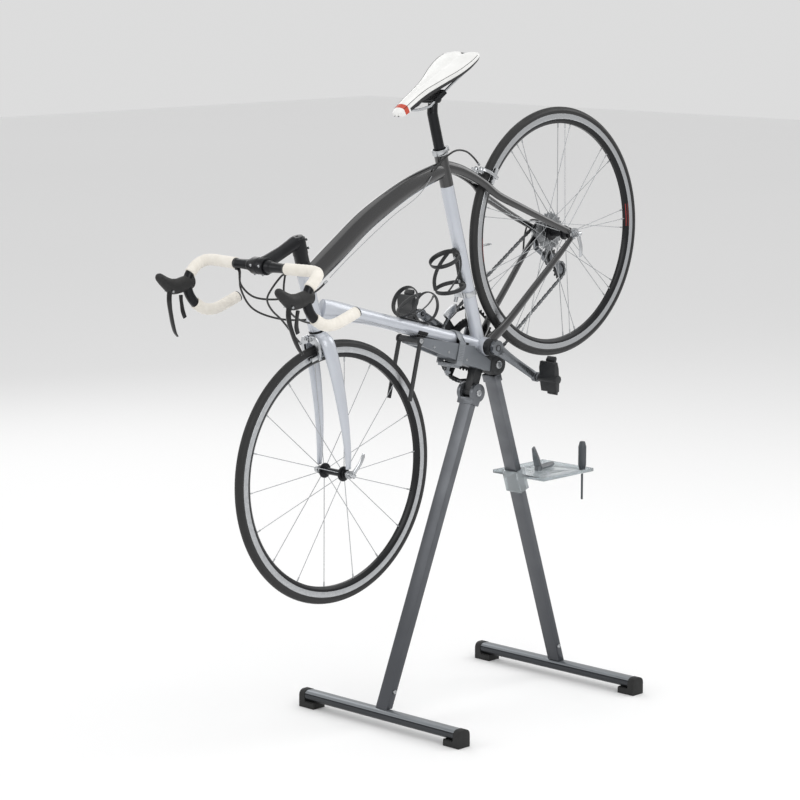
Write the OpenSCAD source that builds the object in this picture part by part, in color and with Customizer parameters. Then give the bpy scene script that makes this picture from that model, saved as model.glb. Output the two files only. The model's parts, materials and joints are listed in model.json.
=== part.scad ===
// Road bicycle clamped nose-down on a folding two-legged service stand.
// +X points to the bicycle's front, +Y to its left and +Z up; the floor is z = 0. Millimetres.
// The stand is drawn from the point on the floor under the bottom bracket; the bicycle is drawn
// in its own upright frame, with its zero at the bottom bracket, and is then pitched as a whole.

/* [Stand] */
// Height of the bottom bracket over the floor
bb_height = 955; // [900:5:1000]
// Nose-down pitch of the clamped bicycle, in degrees
bike_pitch = 32.9; // [31:0.1:35]
// Front foot bar, ahead of the bottom bracket
front_reach = 364; // [330:2:400]
// Rear foot bar, behind the bottom bracket
rear_reach = 326; // [300:2:360]
// Length of each foot bar with its end caps
foot_bar_len = 576; // [480:4:680]
// Width of the rectangular leg tube, across the stand
leg_w = 40; // [34:1:46]
// Thickness of the rectangular leg tube
leg_t = 20; // [16:1:24]
// Width of the support beam across its cheeks
beam_w = 64; // [58:1:68]
// Height of the tool tray over the floor
tray_height = 580; // [420:5:660]

/* [Bicycle] */
// Outer radius of the tyres
wheel_r = 334; // [330:1:336]
// Width of the tyres
tyre_w = 23; // [20:1:25]
// Head tube angle from level
head_angle = 72.5; // [71:0.5:74]
// Seat tube angle from level
seat_angle = 73.4; // [72:0.2:75]
// Fork length along the steering axis, from the axle's level to the crown race
fork_len = 363; // [358:1:372]
// Fork rake, from the steering axis to the front axle
fork_rake = 40; // [36:1:46]
// Crank length, bottom bracket to pedal axle
crank_len = 172.5; // [165:2.5:175]
// Distance between the middles of the two drops
bar_w = 420; // [400:10:440]
// Height of the saddle clamp over the bend of the seatpost
saddle_rise = 30; // [20:1:40]

/* [Drivetrain] */
// Teeth on the outer chainring
big_ring = 50; // [48:1:52]
// Teeth on the inner chainring
small_ring = 34; // [34:1:36]
// Spokes in the front wheel
front_spoke_count = 18; // [16:2:24]
// Groups of three spokes in the rear wheel
rear_spoke_groups = 9; // [7:1:9]

/* [Hidden] */
$fn = 48;

// Fits
run_gap = 0.05;     // radial gap of a shaft in its bore
part_gap = 0.4;     // gap between parts that pass each other

// Places on the stand, from the floor point under the bottom bracket
stand_x = -149;                       // that point in the object's own frame
front_pivot = [30.7, bb_height - 120];
rear_pivot = [-39.3, bb_height - 51.5];
foot_h = 28;
foot_d = 40;
foot_z = 31.5;                        // centre height of the foot bars
foot_pad_h = foot_z - foot_h / 2;
front_foot = [front_reach, foot_z];
rear_foot = [-rear_reach, foot_z];
front_lean = atan2(front_foot[0] - front_pivot[0], front_pivot[1] - front_foot[1]);
rear_lean = atan2(rear_foot[0] - rear_pivot[0], rear_pivot[1] - rear_foot[1]);
rest_pivot = [262, bb_height + 43.5];
pin_r = 6;
hub_r = 24.5;                         // round head of the front leg
housing_r = 27;                       // round end of the stand head
tongue_w = 24;                        // rear leg's tongue between the housing's cheeks

// Places on the bicycle
rear_hub_at = [-402, 0, 70];
front_hub_at = [592.5, 0, 70];
steer_foot = front_hub_at - fork_rake * [sin(head_angle), 0, cos(head_angle)];
down_angle = 48.5;
down_r = 19;
shell_r = 24;
shell_w = 68;
seat_tube_r = 17.5;
post_r = 13.6;
steerer_r = 14.3;
head_len = 154;
head_z = fork_len + 6;                // lower end of the head tube along the steering axis
stem_z = head_z + head_len + 44;      // lower edge of the stem's steerer clamp
seat_top = 546;                       // length of the seat tube
post_foot = 400;                      // lower end of the seatpost, along the seat tube
post_bend = 646;                      // where the seatpost bends
spindle_r = 12;
crank_angle = 245;                    // direction of the left crank, in the bicycle's frame
pedal_tilt = 118;                     // direction of the left pedal's body
pitch = 12.7;                         // chain pitch
chain_y = -46.5;
cog_step = 3.95;
cogs = [12, 13, 14, 15, 16, 17, 19, 21, 23, 25];
chain_cog = 2;                        // the cog that the chain lies on
pulley_teeth = 11;
upper_pulley = [-393, -14];
lower_pulley = [-402, -65];
rim_bed_r = wheel_r - tyre_w;
rim_in_r = rim_bed_r - 21;
front_old = 100;                      // width of the front hub between the fork ends
rear_old = 130;                       // width of the rear hub between the dropouts

// ---------------------------------------------------------------- helpers

function unit(v) = v / norm(v);
function xyz(v) = [v[0], v[1], v[2]];
function flip(points) = [for (p = points) [p[0], -p[1], p[2], p[3], p[4]]];
function polar(r, a) = [r * cos(a), r * sin(a)];

// Catmull-Rom point between b and c
function blend(a, b, c, d, t) =
    0.5 * (2 * b + (c - a) * t + (2 * a - 5 * b + 4 * c - d) * t * t + (3 * b - a - 3 * c + d) * t * t * t);
// Smooth route through knots of the form [x, y, z, half width in y, half width in the plane]
function curve(k, steps) = concat(
    [for (i = [0:len(k) - 2], s = [0:steps - 1])
        blend(k[max(i - 1, 0)], k[i], k[i + 1], k[min(i + 2, len(k) - 1)], s / steps)],
    [k[len(k) - 1]]);
function heading(p, i) = unit(xyz(p[min(i + 1, len(p) - 1)]) - xyz(p[max(i - 1, 0)]));
function frames(p, ref, i = 0) = i == len(p) ? [] :
    let (t = heading(p, i), n = unit(ref - t * (ref * t)))
    concat([[n, cross(t, n)]], frames(p, n, i + 1));
function rings(p, f, sides, shrink) = [for (i = [0:len(p) - 1], j = [0:sides - 1])
    let (a = 360 * (j + 0.5) / sides)
    xyz(p[i]) + f[i][0] * (p[i][3] - shrink) * cos(a) + f[i][1] * (p[i][4] - shrink) * sin(a)];

// Solid tube with an elliptical section swept through the knots
module sweep(knots, sides = 12, steps = 3, ref = [0, 1, 0]) {
    p = curve(knots, steps);
    n = sides;
    last = len(p) - 1;
    points = rings(p, frames(p, ref), n, 0);
    walls = [for (i = [0:last - 1], j = [0:n - 1])
        [i * n + j, (i + 1) * n + j, (i + 1) * n + (j + 1) % n, i * n + (j + 1) % n]];
    polyhedron(points, concat(walls, [[for (j = [0:n - 1]) j]], [[for (j = [n - 1:-1:0]) last * n + j]]));
}

// Open-ended sleeve of the given wall along the knots
module sleeve(knots, wall, sides = 12, steps = 3, ref = [0, 1, 0]) {
    p = curve(knots, steps);
    n = sides;
    last = len(p) - 1;
    inner = (last + 1) * n;
    f = frames(p, ref);
    points = concat(rings(p, f, n, 0), rings(p, f, n, wall));
    walls = [for (i = [0:last - 1], j = [0:n - 1])
        let (a = i * n + j, b = (i + 1) * n + j, c = (i + 1) * n + (j + 1) % n, d = i * n + (j + 1) % n)
        each [[a, b, c, d], [inner + d, inner + c, inner + b, inner + a]]];
    ends = [for (j = [0:n - 1])
        let (k = (j + 1) % n, e = last * n)
        each [[j, k, inner + k, inner + j], [e + k, e + j, inner + e + j, inner + e + k]]];
    polyhedron(points, concat(walls, ends));
}

module rod(a, b, r, r2 = undef) {
    v = b - a;
    translate(a) rotate([0, acos(v[2] / norm(v)), atan2(v[1], v[0])])
        cylinder(r1 = r, r2 = r2 == undef ? r : r2, h = norm(v));
}

// Cylinder along Y, from y0 to y1, at [x, z]
module barrel(at, r, y0, y1) {
    translate([at[0], y1, at[1]]) rotate([90, 0, 0]) cylinder(r = r, h = y1 - y0);
}

// Flat plate in the X-Z plane, from y0 to y1
module slab(y0, y1) {
    translate([0, y1, 0]) rotate([90, 0, 0]) linear_extrude(y1 - y0) children();
}

module box(x0, x1, y0, y1, z0, z1) {
    translate([x0, y0, z0]) cube([x1 - x0, y1 - y0, z1 - z0]);
}

module both_sides() {
    children();
    mirror([0, 1, 0]) children();
}

module on_stand() { translate([stand_x, 0, 0]) children(); }
module on_front_leg() { on_stand() translate([front_pivot[0], 0, front_pivot[1]]) rotate([0, -front_lean,
    0]) children(); }
module on_rear_leg() { on_stand() translate([rear_pivot[0], 0, rear_pivot[1]]) rotate([0, -rear_lean,
    0]) children(); }
module on_bike() { translate([stand_x, 0, bb_height]) rotate([0, bike_pitch, 0]) children(); }
module on_steerer() { on_bike() translate(steer_foot) rotate([0, head_angle - 90, 0]) children(); }
module on_seat_tube() { on_bike() rotate([0, seat_angle - 90, 0]) children(); }
module on_down_tube() { on_bike() rotate([0, -down_angle, 0]) children(); }
module on_front_wheel() { on_bike() translate(front_hub_at) children(); }
module on_rear_wheel() { on_bike() translate(rear_hub_at) children(); }

function pitch_r(teeth) = pitch / (2 * sin(180 / teeth));

// Toothed outline of a chain wheel
module teeth(count) {
    r = pitch_r(count);
    step = 360 / count;
    polygon([for (i = [0:count - 1], k = [[-0.34, -2.6], [-0.12, 2.2], [0.12, 2.2], [0.34, -2.6]])
        polar(r + k[1], (i + k[0]) * step)]);
}

// ---------------------------------------------------------------- stand

beam_lower = [[258, 32], [71, -42], [-8, -66]];      // from the bottom bracket's height
beam_rear = [[-12, -38.5], [2.4, -28], [47, -3], [48.3, 6.6]];

module beam_side() {
    translate([0, bb_height]) polygon(concat(beam_lower, beam_rear, [[258, 52]]));
}

module support_beam() {
    color("slategray") difference() {
        on_stand() slab(-beam_w / 2, beam_w / 2) beam_side();
        on_down_tube() rotate([0, 90, 0]) cylinder(r = down_r + 2, h = 400);
        on_bike() barrel([0, 0], shell_r + run_gap, -40, 40);
        // hollow underside between the cheeks
        on_stand() slab(10 - beam_w / 2, beam_w / 2 - 10) translate([0, bb_height])
            polygon([[140, -30], [140, -2], [236, 32], [236, 10]]);
        // slot for the fork rest's cross tube
        on_stand() barrel(rest_pivot, 8 + run_gap, -40, 40);
        on_stand() box(250, 270, 10 - beam_w / 2, beam_w / 2 - 10, bb_height, bb_height + 60);
    }
}

module beam_pads() {
    color([0.08, 0.08, 0.08]) difference() {
        on_down_tube() rotate([0, 90, 0]) union() {
            translate([0, 0, 62]) cylinder(r = down_r + 2 - run_gap, h = 22);
            translate([0, 0, 222]) cylinder(r = down_r + 2 - run_gap, h = 34);
        }
        on_down_tube() rotate([0, 90, 0]) cylinder(r = down_r + run_gap, h = 400);
        // upper half left open
        on_down_tube() box(0, 400, -40, 40, -2, 60);
        // channels for the shift wires
        on_down_tube() both_sides() rod([30, 16, -12], [300, 16, -12], 1.3);
    }
}

module stand_head() {
    color([0.15, 0.15, 0.16]) difference() {
        on_stand() union() {
            barrel(rear_pivot, housing_r, -34, 34);
            slab(-33, 33) translate([0, bb_height])
                polygon([[-62, -38], [-22, -14], [2.4, -28], [-12, -38.5], [-8, -66], [-16, -76], [-39, -78]]);
            // neck that carries the front leg
            slab(-12, 12) translate([0, bb_height])
                polygon([[-2, -64.18], [26, -55.66], [43, -112], [20, -118]]);
            barrel(front_pivot, 14, -16.6, 16.6);
        }
        on_bike() barrel([0, 0], shell_r + run_gap, -40, 40);
        on_stand() barrel(front_pivot, pin_r, -30, 30);
        on_stand() barrel(rear_pivot, pin_r, -40, 40);
        // slot for the rear leg's tongue
        on_stand() barrel(rear_pivot, 14.5, -tongue_w / 2 - part_gap, tongue_w / 2 + part_gap);
        on_stand() box(rear_pivot[0] - 34, rear_pivot[0] + 26, -tongue_w / 2 - part_gap,
            tongue_w / 2 + part_gap,
            rear_pivot[1] - 40, rear_pivot[1]);
    }
}

strap_at = 101;       // along the down tube
strap_w = 22;
strap_t = 3;

module strap_loop(grow) {
    circle(r = down_r + 1 + grow);
    translate([-beam_w / 2 - 0.5 - grow, -64 - grow])
        square([beam_w + 1 + 2 * grow, 60 + grow]);
    polygon([[-beam_w / 2 - 0.5 - grow, -6], [beam_w / 2 + 0.5 + grow, -6], [down_r + grow, 6],
        [-down_r - grow, 6]]);
}

module clamp_strap() {
    color([0.2, 0.21, 0.22]) on_down_tube() {
        translate([strap_at - strap_w / 2, 0, 0]) rotate([90, 0, 90]) linear_extrude(strap_w) difference() {
            strap_loop(strap_t);
            strap_loop(0);
        }
        // steel yoke and tensioning bolt under the beam
        box(strap_at - 14, strap_at + 14, -26, 26, -73, -64 - strap_t);
        rod([strap_at, 0, -73], [strap_at, 0, -96], 4);
        rod([strap_at, 0, -84], [strap_at, 0, -90], 8);
    }
}

module stand_pins() {
    color("silver") on_stand() {
        barrel(front_pivot, pin_r - run_gap, -27.5, 27.5);
        barrel(rear_pivot, pin_r - run_gap, -33, 33);
        both_sides() barrel(rear_pivot, 8, 34, 37);
    }
}

module leg_tube(len, top) {
    difference() {
        box(-leg_t / 2, leg_t / 2, -leg_w / 2, leg_w / 2, -len, -top);
        box(2 - leg_t / 2, leg_t / 2 - 2, 2 - leg_w / 2, leg_w / 2 - 2, -len - 1, -top - 24);
    }
}

module front_leg() {
    len = norm(front_pivot - front_foot);
    color([0.33, 0.33, 0.35]) difference() {
        on_front_leg() union() {
            leg_tube(len, 20);
            both_sides() barrel([0, 0], hub_r, 17, 28);
            slab(-28, 28) polygon([[-14, -17.5], [14, -17.5], [12, -34], [-12, -34]]);
            barrel([0, -(len - 62)], 6, leg_w / 2, leg_w / 2 + 2);
        }
        on_stand() barrel(front_pivot, pin_r + run_gap, -40, 40);
        on_stand() box(front_foot[0] - 60, front_foot[0] + 60, -30, 30, 0, foot_z + foot_h / 2);
        on_front_leg() barrel([0, 0], 17, -17, 17);
    }
}

module rear_leg() {
    len = norm(rear_pivot - rear_foot);
    color([0.33, 0.33, 0.35]) difference() {
        on_rear_leg() union() {
            leg_tube(len, 44);
            box(-leg_t / 2 - 3, leg_t / 2 + 3, -leg_w / 2 - 3, leg_w / 2 + 3, -52, -30);
            box(-9, 9, -tongue_w / 2, tongue_w / 2, -31, 0);
            barrel([0, 0], 13.5, -tongue_w / 2, tongue_w / 2);
            barrel([0, -(len - 62)], 6, leg_w / 2, leg_w / 2 + 2);
        }
        on_stand() barrel(rear_pivot, pin_r + run_gap, -40, 40);
        on_stand() box(rear_foot[0] - 60, rear_foot[0] + 60, -30, 30, 0, foot_z + foot_h / 2);
    }
}

module foot_outline(grow) {
    r = foot_h / 2 + grow;
    for (s = [-1, 1]) translate([s * (foot_d - foot_h) / 2, 0]) circle(r = r);
    translate([-(foot_d - foot_h) / 2, -r]) square([foot_d - foot_h, 2 * r]);
}

module foot_bar(at) {
    half = foot_bar_len / 2 - 20;
    color([0.3, 0.3, 0.32]) on_stand() slab(-half, half) translate(at) difference() {
        foot_outline(0);
        foot_outline(-2.5);
    }
}

module front_foot_bar() { foot_bar(front_foot); }
module rear_foot_bar() { foot_bar(rear_foot); }

module feet(at) {
    end = foot_bar_len / 2;
    color([0.06, 0.06, 0.06]) on_stand() both_sides() {
        slab(end - 20, end) translate(at) foot_outline(0.8);
        slab(end - 20, end) translate([at[0] - 21, 0]) square([42, foot_z]);
        box(at[0] - 21, at[0] + 21, end - 54, end - 20, 0, foot_pad_h - 3);
        for (k = [0:5]) box(at[0] - 21, at[0] + 21, end - 53 + 6 * k, end - 50 + 6 * k, foot_pad_h - 3,
            foot_pad_h);
    }
}

module front_feet() { feet(front_foot); }
module rear_feet() { feet(rear_foot); }

rest_y = 34.5;        // inner face of the fork rest's arms
rest_t = 5;
rest_len = 156;
rest_lean = 14.5;

module fork_rest() {
    color([0.12, 0.12, 0.13]) on_stand() {
        barrel(rest_pivot, 8, -rest_y - 1, rest_y + 1);
        translate([rest_pivot[0], 0, rest_pivot[1]]) rotate([0, -rest_lean, 0]) both_sides() {
            box(-6, 6, rest_y, rest_y + rest_t, -rest_len, 0);
            barrel([0, 0], 11, rest_y, rest_y + rest_t);
        }
    }
}

tray_t = 3;
tray_back = 222;      // from the leg's middle to the tray's rear edge

function leg_x_at(z) = rear_pivot[0] + (rear_foot[0] - rear_pivot[0]) * (rear_pivot[1] - z) / (rear_pivot[1] - rear_foot[1]);

tray_x = leg_x_at(tray_height);
driver_at = [tray_x - 205, 62];

module tool_tray() {
    color([0.8, 0.84, 0.86, 0.6]) difference() {
        union() {
            on_stand() box(tray_x - tray_back, tray_x - 16, -94, 88, tray_height, tray_height + tray_t);
            on_stand() difference() {
                box(tray_x - tray_back, tray_x - 16, -94, 88, tray_height + tray_t, tray_height + 9);
                box(tray_x - tray_back + 3, tray_x - 19, -91, 85, tray_height, tray_height + 12);
            }
            // clip round the leg
            on_rear_leg() translate([0, 0, (tray_height - rear_pivot[1]) / cos(rear_lean)])
                box(-leg_t / 2 - 8, leg_t / 2 + 6, -leg_w / 2 - 6, leg_w / 2 + 6, -34, 26);
        }
        on_rear_leg() box(-leg_t / 2 - 0.3, leg_t / 2 + 0.3, -leg_w / 2 - 0.3, leg_w / 2 + 0.3, -700, 0);
        on_stand() translate([driver_at[0], driver_at[1], tray_height - 20]) cylinder(r = 6, h = 60);
        for (k = [0:3]) on_stand() translate([tray_x - 60 - 36 * k, -66, tray_height - 20]) cylinder(r = 6,
            h = 60);
        for (k = [0:1]) on_stand() box(tray_x - 150 + 60 * k, tray_x - 110 + 60 * k, 30, 38,
            tray_height - 20, tray_height + 40);
    }
}

module screwdriver() {
    top = tray_height + tray_t;
    color([0.25, 0.27, 0.3]) on_stand() translate([driver_at[0], driver_at[1], 0]) {
        translate([0, 0, top + 0.1]) cylinder(r1 = 8, r2 = 11, h = 14);
        translate([0, 0, top + 14.1]) cylinder(r = 11, h = 50);
        translate([0, 0, top + 64.1]) cylinder(r1 = 11, r2 = 7, h = 14);
        translate([0, 0, top - 82]) cylinder(r = 3, h = 82.1);
    }
}

module plier_half() {
    rotate([0, 0, 7]) {
        sweep([[-78, 9, 0, 6, 6], [-50, 12, 0, 7, 6], [-15, 7, 0, 7, 5], [4, 0, 0, 8, 4]], 10, 2);
    }
}

module pliers() {
    z = tray_height + tray_t + 7.2;
    color([0.35, 0.37, 0.4]) on_stand() translate([tray_x - 112, -14, z]) rotate([0, 0, 12]) {
        both_sides() plier_half();
        cylinder(r = 11, h = 12, center = true);
        rotate([0, -64, 0]) translate([2, 0, -5]) linear_extrude(10)
            polygon([[0, -9], [30, -8], [66, -2.5], [66, 2.5], [30, 8], [0, 9]]);
    }
}

// ---------------------------------------------------------------- frame and fork

down_dir = [cos(down_angle), 0, sin(down_angle)];
down_nrm = [-sin(down_angle), 0, cos(down_angle)];
function down_knot(t, off, half, deep) =
    let (p = down_dir * t + down_nrm * off) [p[0], p[1], p[2], half, deep];

top_tube_knots = [[-142, 0, 468, 14, 20], [-100, 0, 484, 15, 23], [8, 0, 512, 16, 27], [153, 0, 531, 18, 30],
    [266, 0, 531, 19, 31], [370, 0, 530, 19, 30], [404, 0, 530, 16, 28]];
down_tube_knots = [down_knot(8, 0, 20, 19), down_knot(60, 0, down_r, down_r), down_knot(400, 0, down_r, down_r),
    down_knot(500, -3, 20, 23), down_knot(556, -7, 19, 27), down_knot(596, -9, 14, 26)];
stay_knots = [[-143, 7, 478, 9, 16], [-186, 11, 432, 9, 14], [-226, 18, 366, 9, 12], [-248, 29, 308, 8, 11],
    [-290, 42, 240, 8, 10], [-340, 54, 162, 7, 9], [-397, 65, 76, 4, 8]];
chainstay_knots = [[-14, 18, 0, 13, 15], [-62, 27, 3, 8, 14], [-110, 36, 12, 7, 12], [-220, 47, 32, 8, 10],
    [-320, 58, 50, 7, 9], [-398, 66, 64, 4, 8]];

module dropout(y0, y1) {
    slab(y0, y1) difference() {
        union() {
            translate([-402, 70]) circle(r = 15);
            polygon([[-392, 80], [-392, 58], [-410, 62], [-404, 84]]);
        }
        translate([-402, 70]) circle(r = 6 + run_gap);
        translate([-402 - 6, 50]) square([12, 20]);
    }
}

module frame() {
    color("whitesmoke") {
        difference() {
            on_bike() union() {
                sweep(down_tube_knots, 20, 3);
                sweep(top_tube_knots, 20, 3);
                barrel([0, 0], shell_r, -shell_w / 2, shell_w / 2);
                rod([0, 0, 0], seat_top * [-cos(seat_angle), 0, sin(seat_angle)], seat_tube_r);
                sweep(stay_knots, 12, 3);
                sweep(flip(stay_knots), 12, 3);
                sweep(chainstay_knots, 12, 3);
                sweep(flip(chainstay_knots), 12, 3);
                barrel([-222, 374], 8, -18, 18);
                translate(steer_foot) rotate([0, head_angle - 90, 0]) translate([0, 0, head_z])
                    cylinder(r = 20, h = head_len);
            }
            on_steerer() translate([0, 0, head_z - 60]) cylinder(r = 16.5, h = head_len + 120);
            on_steerer() translate([0, 0, head_z - 40]) cylinder(r = 40, h = 40);
            on_steerer() translate([0, 0, head_z + head_len]) cylinder(r = 40, h = 40);
            on_seat_tube() translate([0, 0, post_foot - 90]) cylinder(r = post_r + run_gap, h = 300);
            on_bike() barrel([0, 0], 17.5, -40, 40);
            // the stay ends stop at the dropouts' inner faces
            on_bike() both_sides() box(-430, -380, rear_old / 2 + 1, 90, 40, 110);
            on_rear_wheel() both_sides() barrel([0, 0], 9.6, 50, rear_old / 2 + 1);
        }
        on_rear_brake() caliper_mount(rear_brake_depth, 3);
        on_bike() dropout(rear_old / 2 + 1, rear_old / 2 + 7);
        on_bike() dropout(-rear_old / 2 - 7, -rear_old / 2 - 1);
    }
}

blade_knots = [[0, 8, 352, 12, 20], [-1, 26, 336, 12, 21], [-1, 34, 300, 10, 20], [1, 39, 230, 9, 18],
    [10, 44, 140, 8, 14], [24, 49, 62, 7, 10], [38, 53, 10, 4, 8]];

module fork() {
    color("whitesmoke") on_steerer() {
        difference() {
            union() {
                sweep(blade_knots, 14, 3);
                sweep(flip(blade_knots), 14, 3);
                translate([0, 0, fork_len - 24]) cylinder(r1 = 16, r2 = 20, h = 24);
                translate([0, 0, fork_len - 1]) cylinder(r = steerer_r, h = stem_z + 40 - fork_len);
            }
            // flat under the crown, over the tyre
            barrel([fork_rake, 0], wheel_r + 4, -18, 18);
            translate([0, 0, stem_z + 41]) cylinder(r = 30, h = 40);
            both_sides() barrel([fork_rake, 0], 12, 40, front_old / 2 + 0.5);
            both_sides() box(0, 80, front_old / 2 + 4, 80, -40, 40);
        }
        translate([fork_rake, 0, 0]) caliper_mount(front_brake_depth, -fork_rake);
        both_sides() slab(front_old / 2 + 0.5, front_old / 2 + 4) difference() {
            translate([fork_rake, 0]) circle(r = 10);
            translate([fork_rake, 0]) circle(r = 4.5 + run_gap);
            translate([fork_rake - 4.5, -14]) square([9, 14]);
        }
    }
}

module headset() {
    color([0.1, 0.1, 0.1]) on_steerer() difference() {
        union() {
            translate([0, 0, fork_len + part_gap]) cylinder(r = 20, h = 6 - part_gap);
            translate([0, 0, head_z]) cylinder(r = 16.5 - run_gap, h = 14);
            translate([0, 0, head_z + head_len - 14]) cylinder(r = 16.5 - run_gap, h = 14);
            translate([0, 0, head_z + head_len]) cylinder(r1 = 23, r2 = 18, h = 24);
        }
        translate([0, 0, fork_len]) cylinder(r = steerer_r + run_gap, h = 240);
    }
}

bar_at = [505, 0, 656];               // middle of the handlebar in the bicycle's frame
bar_r = 15.9;

module stem() {
    color([0.1, 0.1, 0.1]) difference() {
        union() {
            on_steerer() translate([0, 0, stem_z]) cylinder(r = 19, h = 41);
            on_steerer() translate([0, 0, stem_z - 19.6]) cylinder(r = 18, h = 19.6);
            on_steerer() translate([0, 0, stem_z + 41]) cylinder(r1 = 17, r2 = 14, h = 5);
            on_bike() sweep([[385, 0, 634, 17, 17], [430, 0, 641, 15, 16], [485, 0, 652, 18, 18]], 16, 2);
            on_bike() barrel([bar_at[0], bar_at[2]], 21, -23, 23);
        }
        on_steerer() translate([0, 0, 300]) cylinder(r = steerer_r + run_gap, h = stem_z - 300 + 41);
        on_bike() barrel([bar_at[0], bar_at[2]], bar_r + run_gap, -40, 40);
    }
}

// Left half of the bar, from its middle round the drop to the end, with its half widths
bar_side = [[505, 40, 656, 13.4, 13.4], [505, 64, 656, 12, 12], [505, 90, 656, 12, 12], [504, 132, 656, 12, 12],
    [503, 174, 656, 12, 12], [509, 198, 656, 12, 12], [528, 209, 656, 12, 12], [556, 210, 652, 12, 12],
    [577, 210, 638, 12, 12], [587, 210, 613, 12, 12], [584, 210, 580, 12, 12], [568, 210, 550, 12, 12],
    [541, 210, 529, 12, 12], [505, 210, 517, 12, 12], [466, 210, 507, 12, 12]];
function bar_knots(grow) = [for (k = bar_side)
    [k[0], k[1] > 150 ? k[1] * bar_w / 420 : k[1], k[2], k[3] + grow, k[4] + grow]];
function part_of(k, a, b) = [for (i = [a:b]) k[i]];

module handlebar() {
    color([0.12, 0.12, 0.12]) on_bike() both_sides() {
        barrel([bar_at[0], bar_at[2]], bar_r, 0, 34);
        translate([bar_at[0], 46, bar_at[2]]) rotate([90, 0, 0]) cylinder(r1 = 14, r2 = bar_r, h = 12);
        sweep(bar_knots(0), 12, 3, [0, 0, 1]);
    }
}

module bar_tape() {
    color("ivory") on_bike() both_sides() {
        sleeve(part_of(bar_knots(3), 2, 7), 2.7, 16, 3, [0, 0, 1]);
        sleeve(part_of(bar_knots(3), 10, 14), 2.7, 16, 3);
        // end plug
        rod([465, 210, 506.8], [462, 210, 506], 14);
    }
}

hood_knots = [[566, 210, 634, 13, 17], [588, 210, 643, 15, 19], [607, 210, 652, 16, 19],
    [624, 210, 664, 15, 19],
    [634, 210, 682, 13, 14], [640, 210, 700, 11, 11], [642, 210, 712, 7, 7]];
lever_pivot = [634, 656];

module lever_hoods() {
    color([0.07, 0.07, 0.07]) on_bike() both_sides() difference() {
        sweep(hood_knots, 14, 3);
        sweep(part_of(bar_knots(0.2), 6, 11), 12, 3);
        barrel(lever_pivot, 9, 210 - 6.5, 210 + 6.5);
        box(lever_pivot[0] - 8, lever_pivot[0] + 40, 210 - 6.5, 210 + 6.5, 600, lever_pivot[1]);
        barrel(lever_pivot, 2.5 + run_gap, 180, 240);
    }
}

lever_knots = [[634, 210, 656, 6, 6], [646, 210, 640, 6, 6], [658, 212, 612, 6, 5], [666, 216, 582, 7, 4],
    [670, 220, 556, 6, 3], [668, 222, 540, 4, 2.5]];

module brake_lever() {
    difference() {
        union() {
            sweep(lever_knots, 10, 3);
            barrel(lever_pivot, 8, 210 - 6, 210 + 6);
        }
        barrel(lever_pivot, 1.9, 180, 240);
    }
    barrel(lever_pivot, 2.5 - run_gap / 2, 210 - 14, 210 + 14);
}

module left_brake_lever() { color([0.1, 0.1, 0.1]) on_bike() brake_lever(); }
module right_brake_lever() { color([0.1, 0.1, 0.1]) on_bike() mirror([0, 1, 0]) brake_lever(); }

shift_pivot = [613, 622];
shift_pivot_y = 205;

module shift_lever() {
    sweep([[613, 206, 628, 5, 5], [624, 203, 612, 4, 5], [634, 200, 594, 3, 6], [637, 199, 578, 3, 6]], 10, 2);
    // round boss that it swings on, along the bicycle
    translate([shift_pivot[0] - 9, shift_pivot_y, shift_pivot[1]]) rotate([0, 90, 0]) cylinder(r = 3.5, h = 18);
}

module left_shift_lever() { color([0.1, 0.1, 0.1]) on_bike() shift_lever(); }
module right_shift_lever() { color([0.1, 0.1, 0.1]) on_bike() mirror([0, 1, 0]) shift_lever(); }

// ---------------------------------------------------------------- cables

cable_r = 2.5;
wire_r = 1;
function route(points, r) = [for (p = points) [p[0], p[1], p[2], r, r]];
left_brake_route = [[514.8, 87, 645.8], [518, 74, 642], [548, 56, 624], [560, 38, 600], [552, 24, 560],
    [532, 14, 510], [516, 6, 450], [506, 2, 414]];
rear_brake_route = [[514.8, -87, 645.8], [518, -74, 642], [546, -52, 624], [548, -24, 592], [520, 10, 566],
    [470, 26, 540], [420, 30, 512], [368, 26, 505]];
shift_route = [[507.9, 87, 642.2], [512, 79, 637], [536, 76, 600], [536, 68, 540], [492, 52, 476],
    [424, 37, 421], [358, 29, 384]];   // stops short of the frame, so it clears it when the bar turns
rear_brake_loop = [[-96, 18, 500], [-130, 27, 510], [-176, 30, 504], [-214, 22, 474], [-238, 12, 436],
    [-252, 4, 402]];
top_tube_wire = [[352, 22, 503], [260, 22, 504], [100, 20, 496], [-10, 19, 482], [-80, 18, 493]];
rear_loop = [[-330, -68, 50], [-372, -82, 76], [-418, -90, 88], [-450, -86, 54], [-446, -78, 20],
    [-420, -71, 5]];
// Bare shift wire beside the down tube, in the tube's own frame
shift_wire = [[520, 22.6, -14], [470, 21.5, -13], [410, 16.6, -12], [380, 16, -12], [60, 16, -12]];

module front_cables() {
    color([0.05, 0.05, 0.05]) on_bike() {
        for (r = [left_brake_route, rear_brake_route]) sweep(route(r, cable_r), 8, 4);
        both_sides() sweep(route(shift_route, cable_r), 8, 4);
    }
}

module frame_cables() {
    color([0.05, 0.05, 0.05]) on_bike() {
        sweep(route(rear_brake_loop, cable_r), 8, 4);
        sweep(route(top_tube_wire, wire_r), 8, 3);
        sweep(route(rear_loop, cable_r), 8, 4);
    }
    color("silver") on_down_tube() both_sides() sweep(route(shift_wire, 0.8), 8, 2);
}

// ---------------------------------------------------------------- seat

rail_w = post_bend * sin(seat_angle) + saddle_rise;    // height of the rails over the bottom bracket

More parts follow.
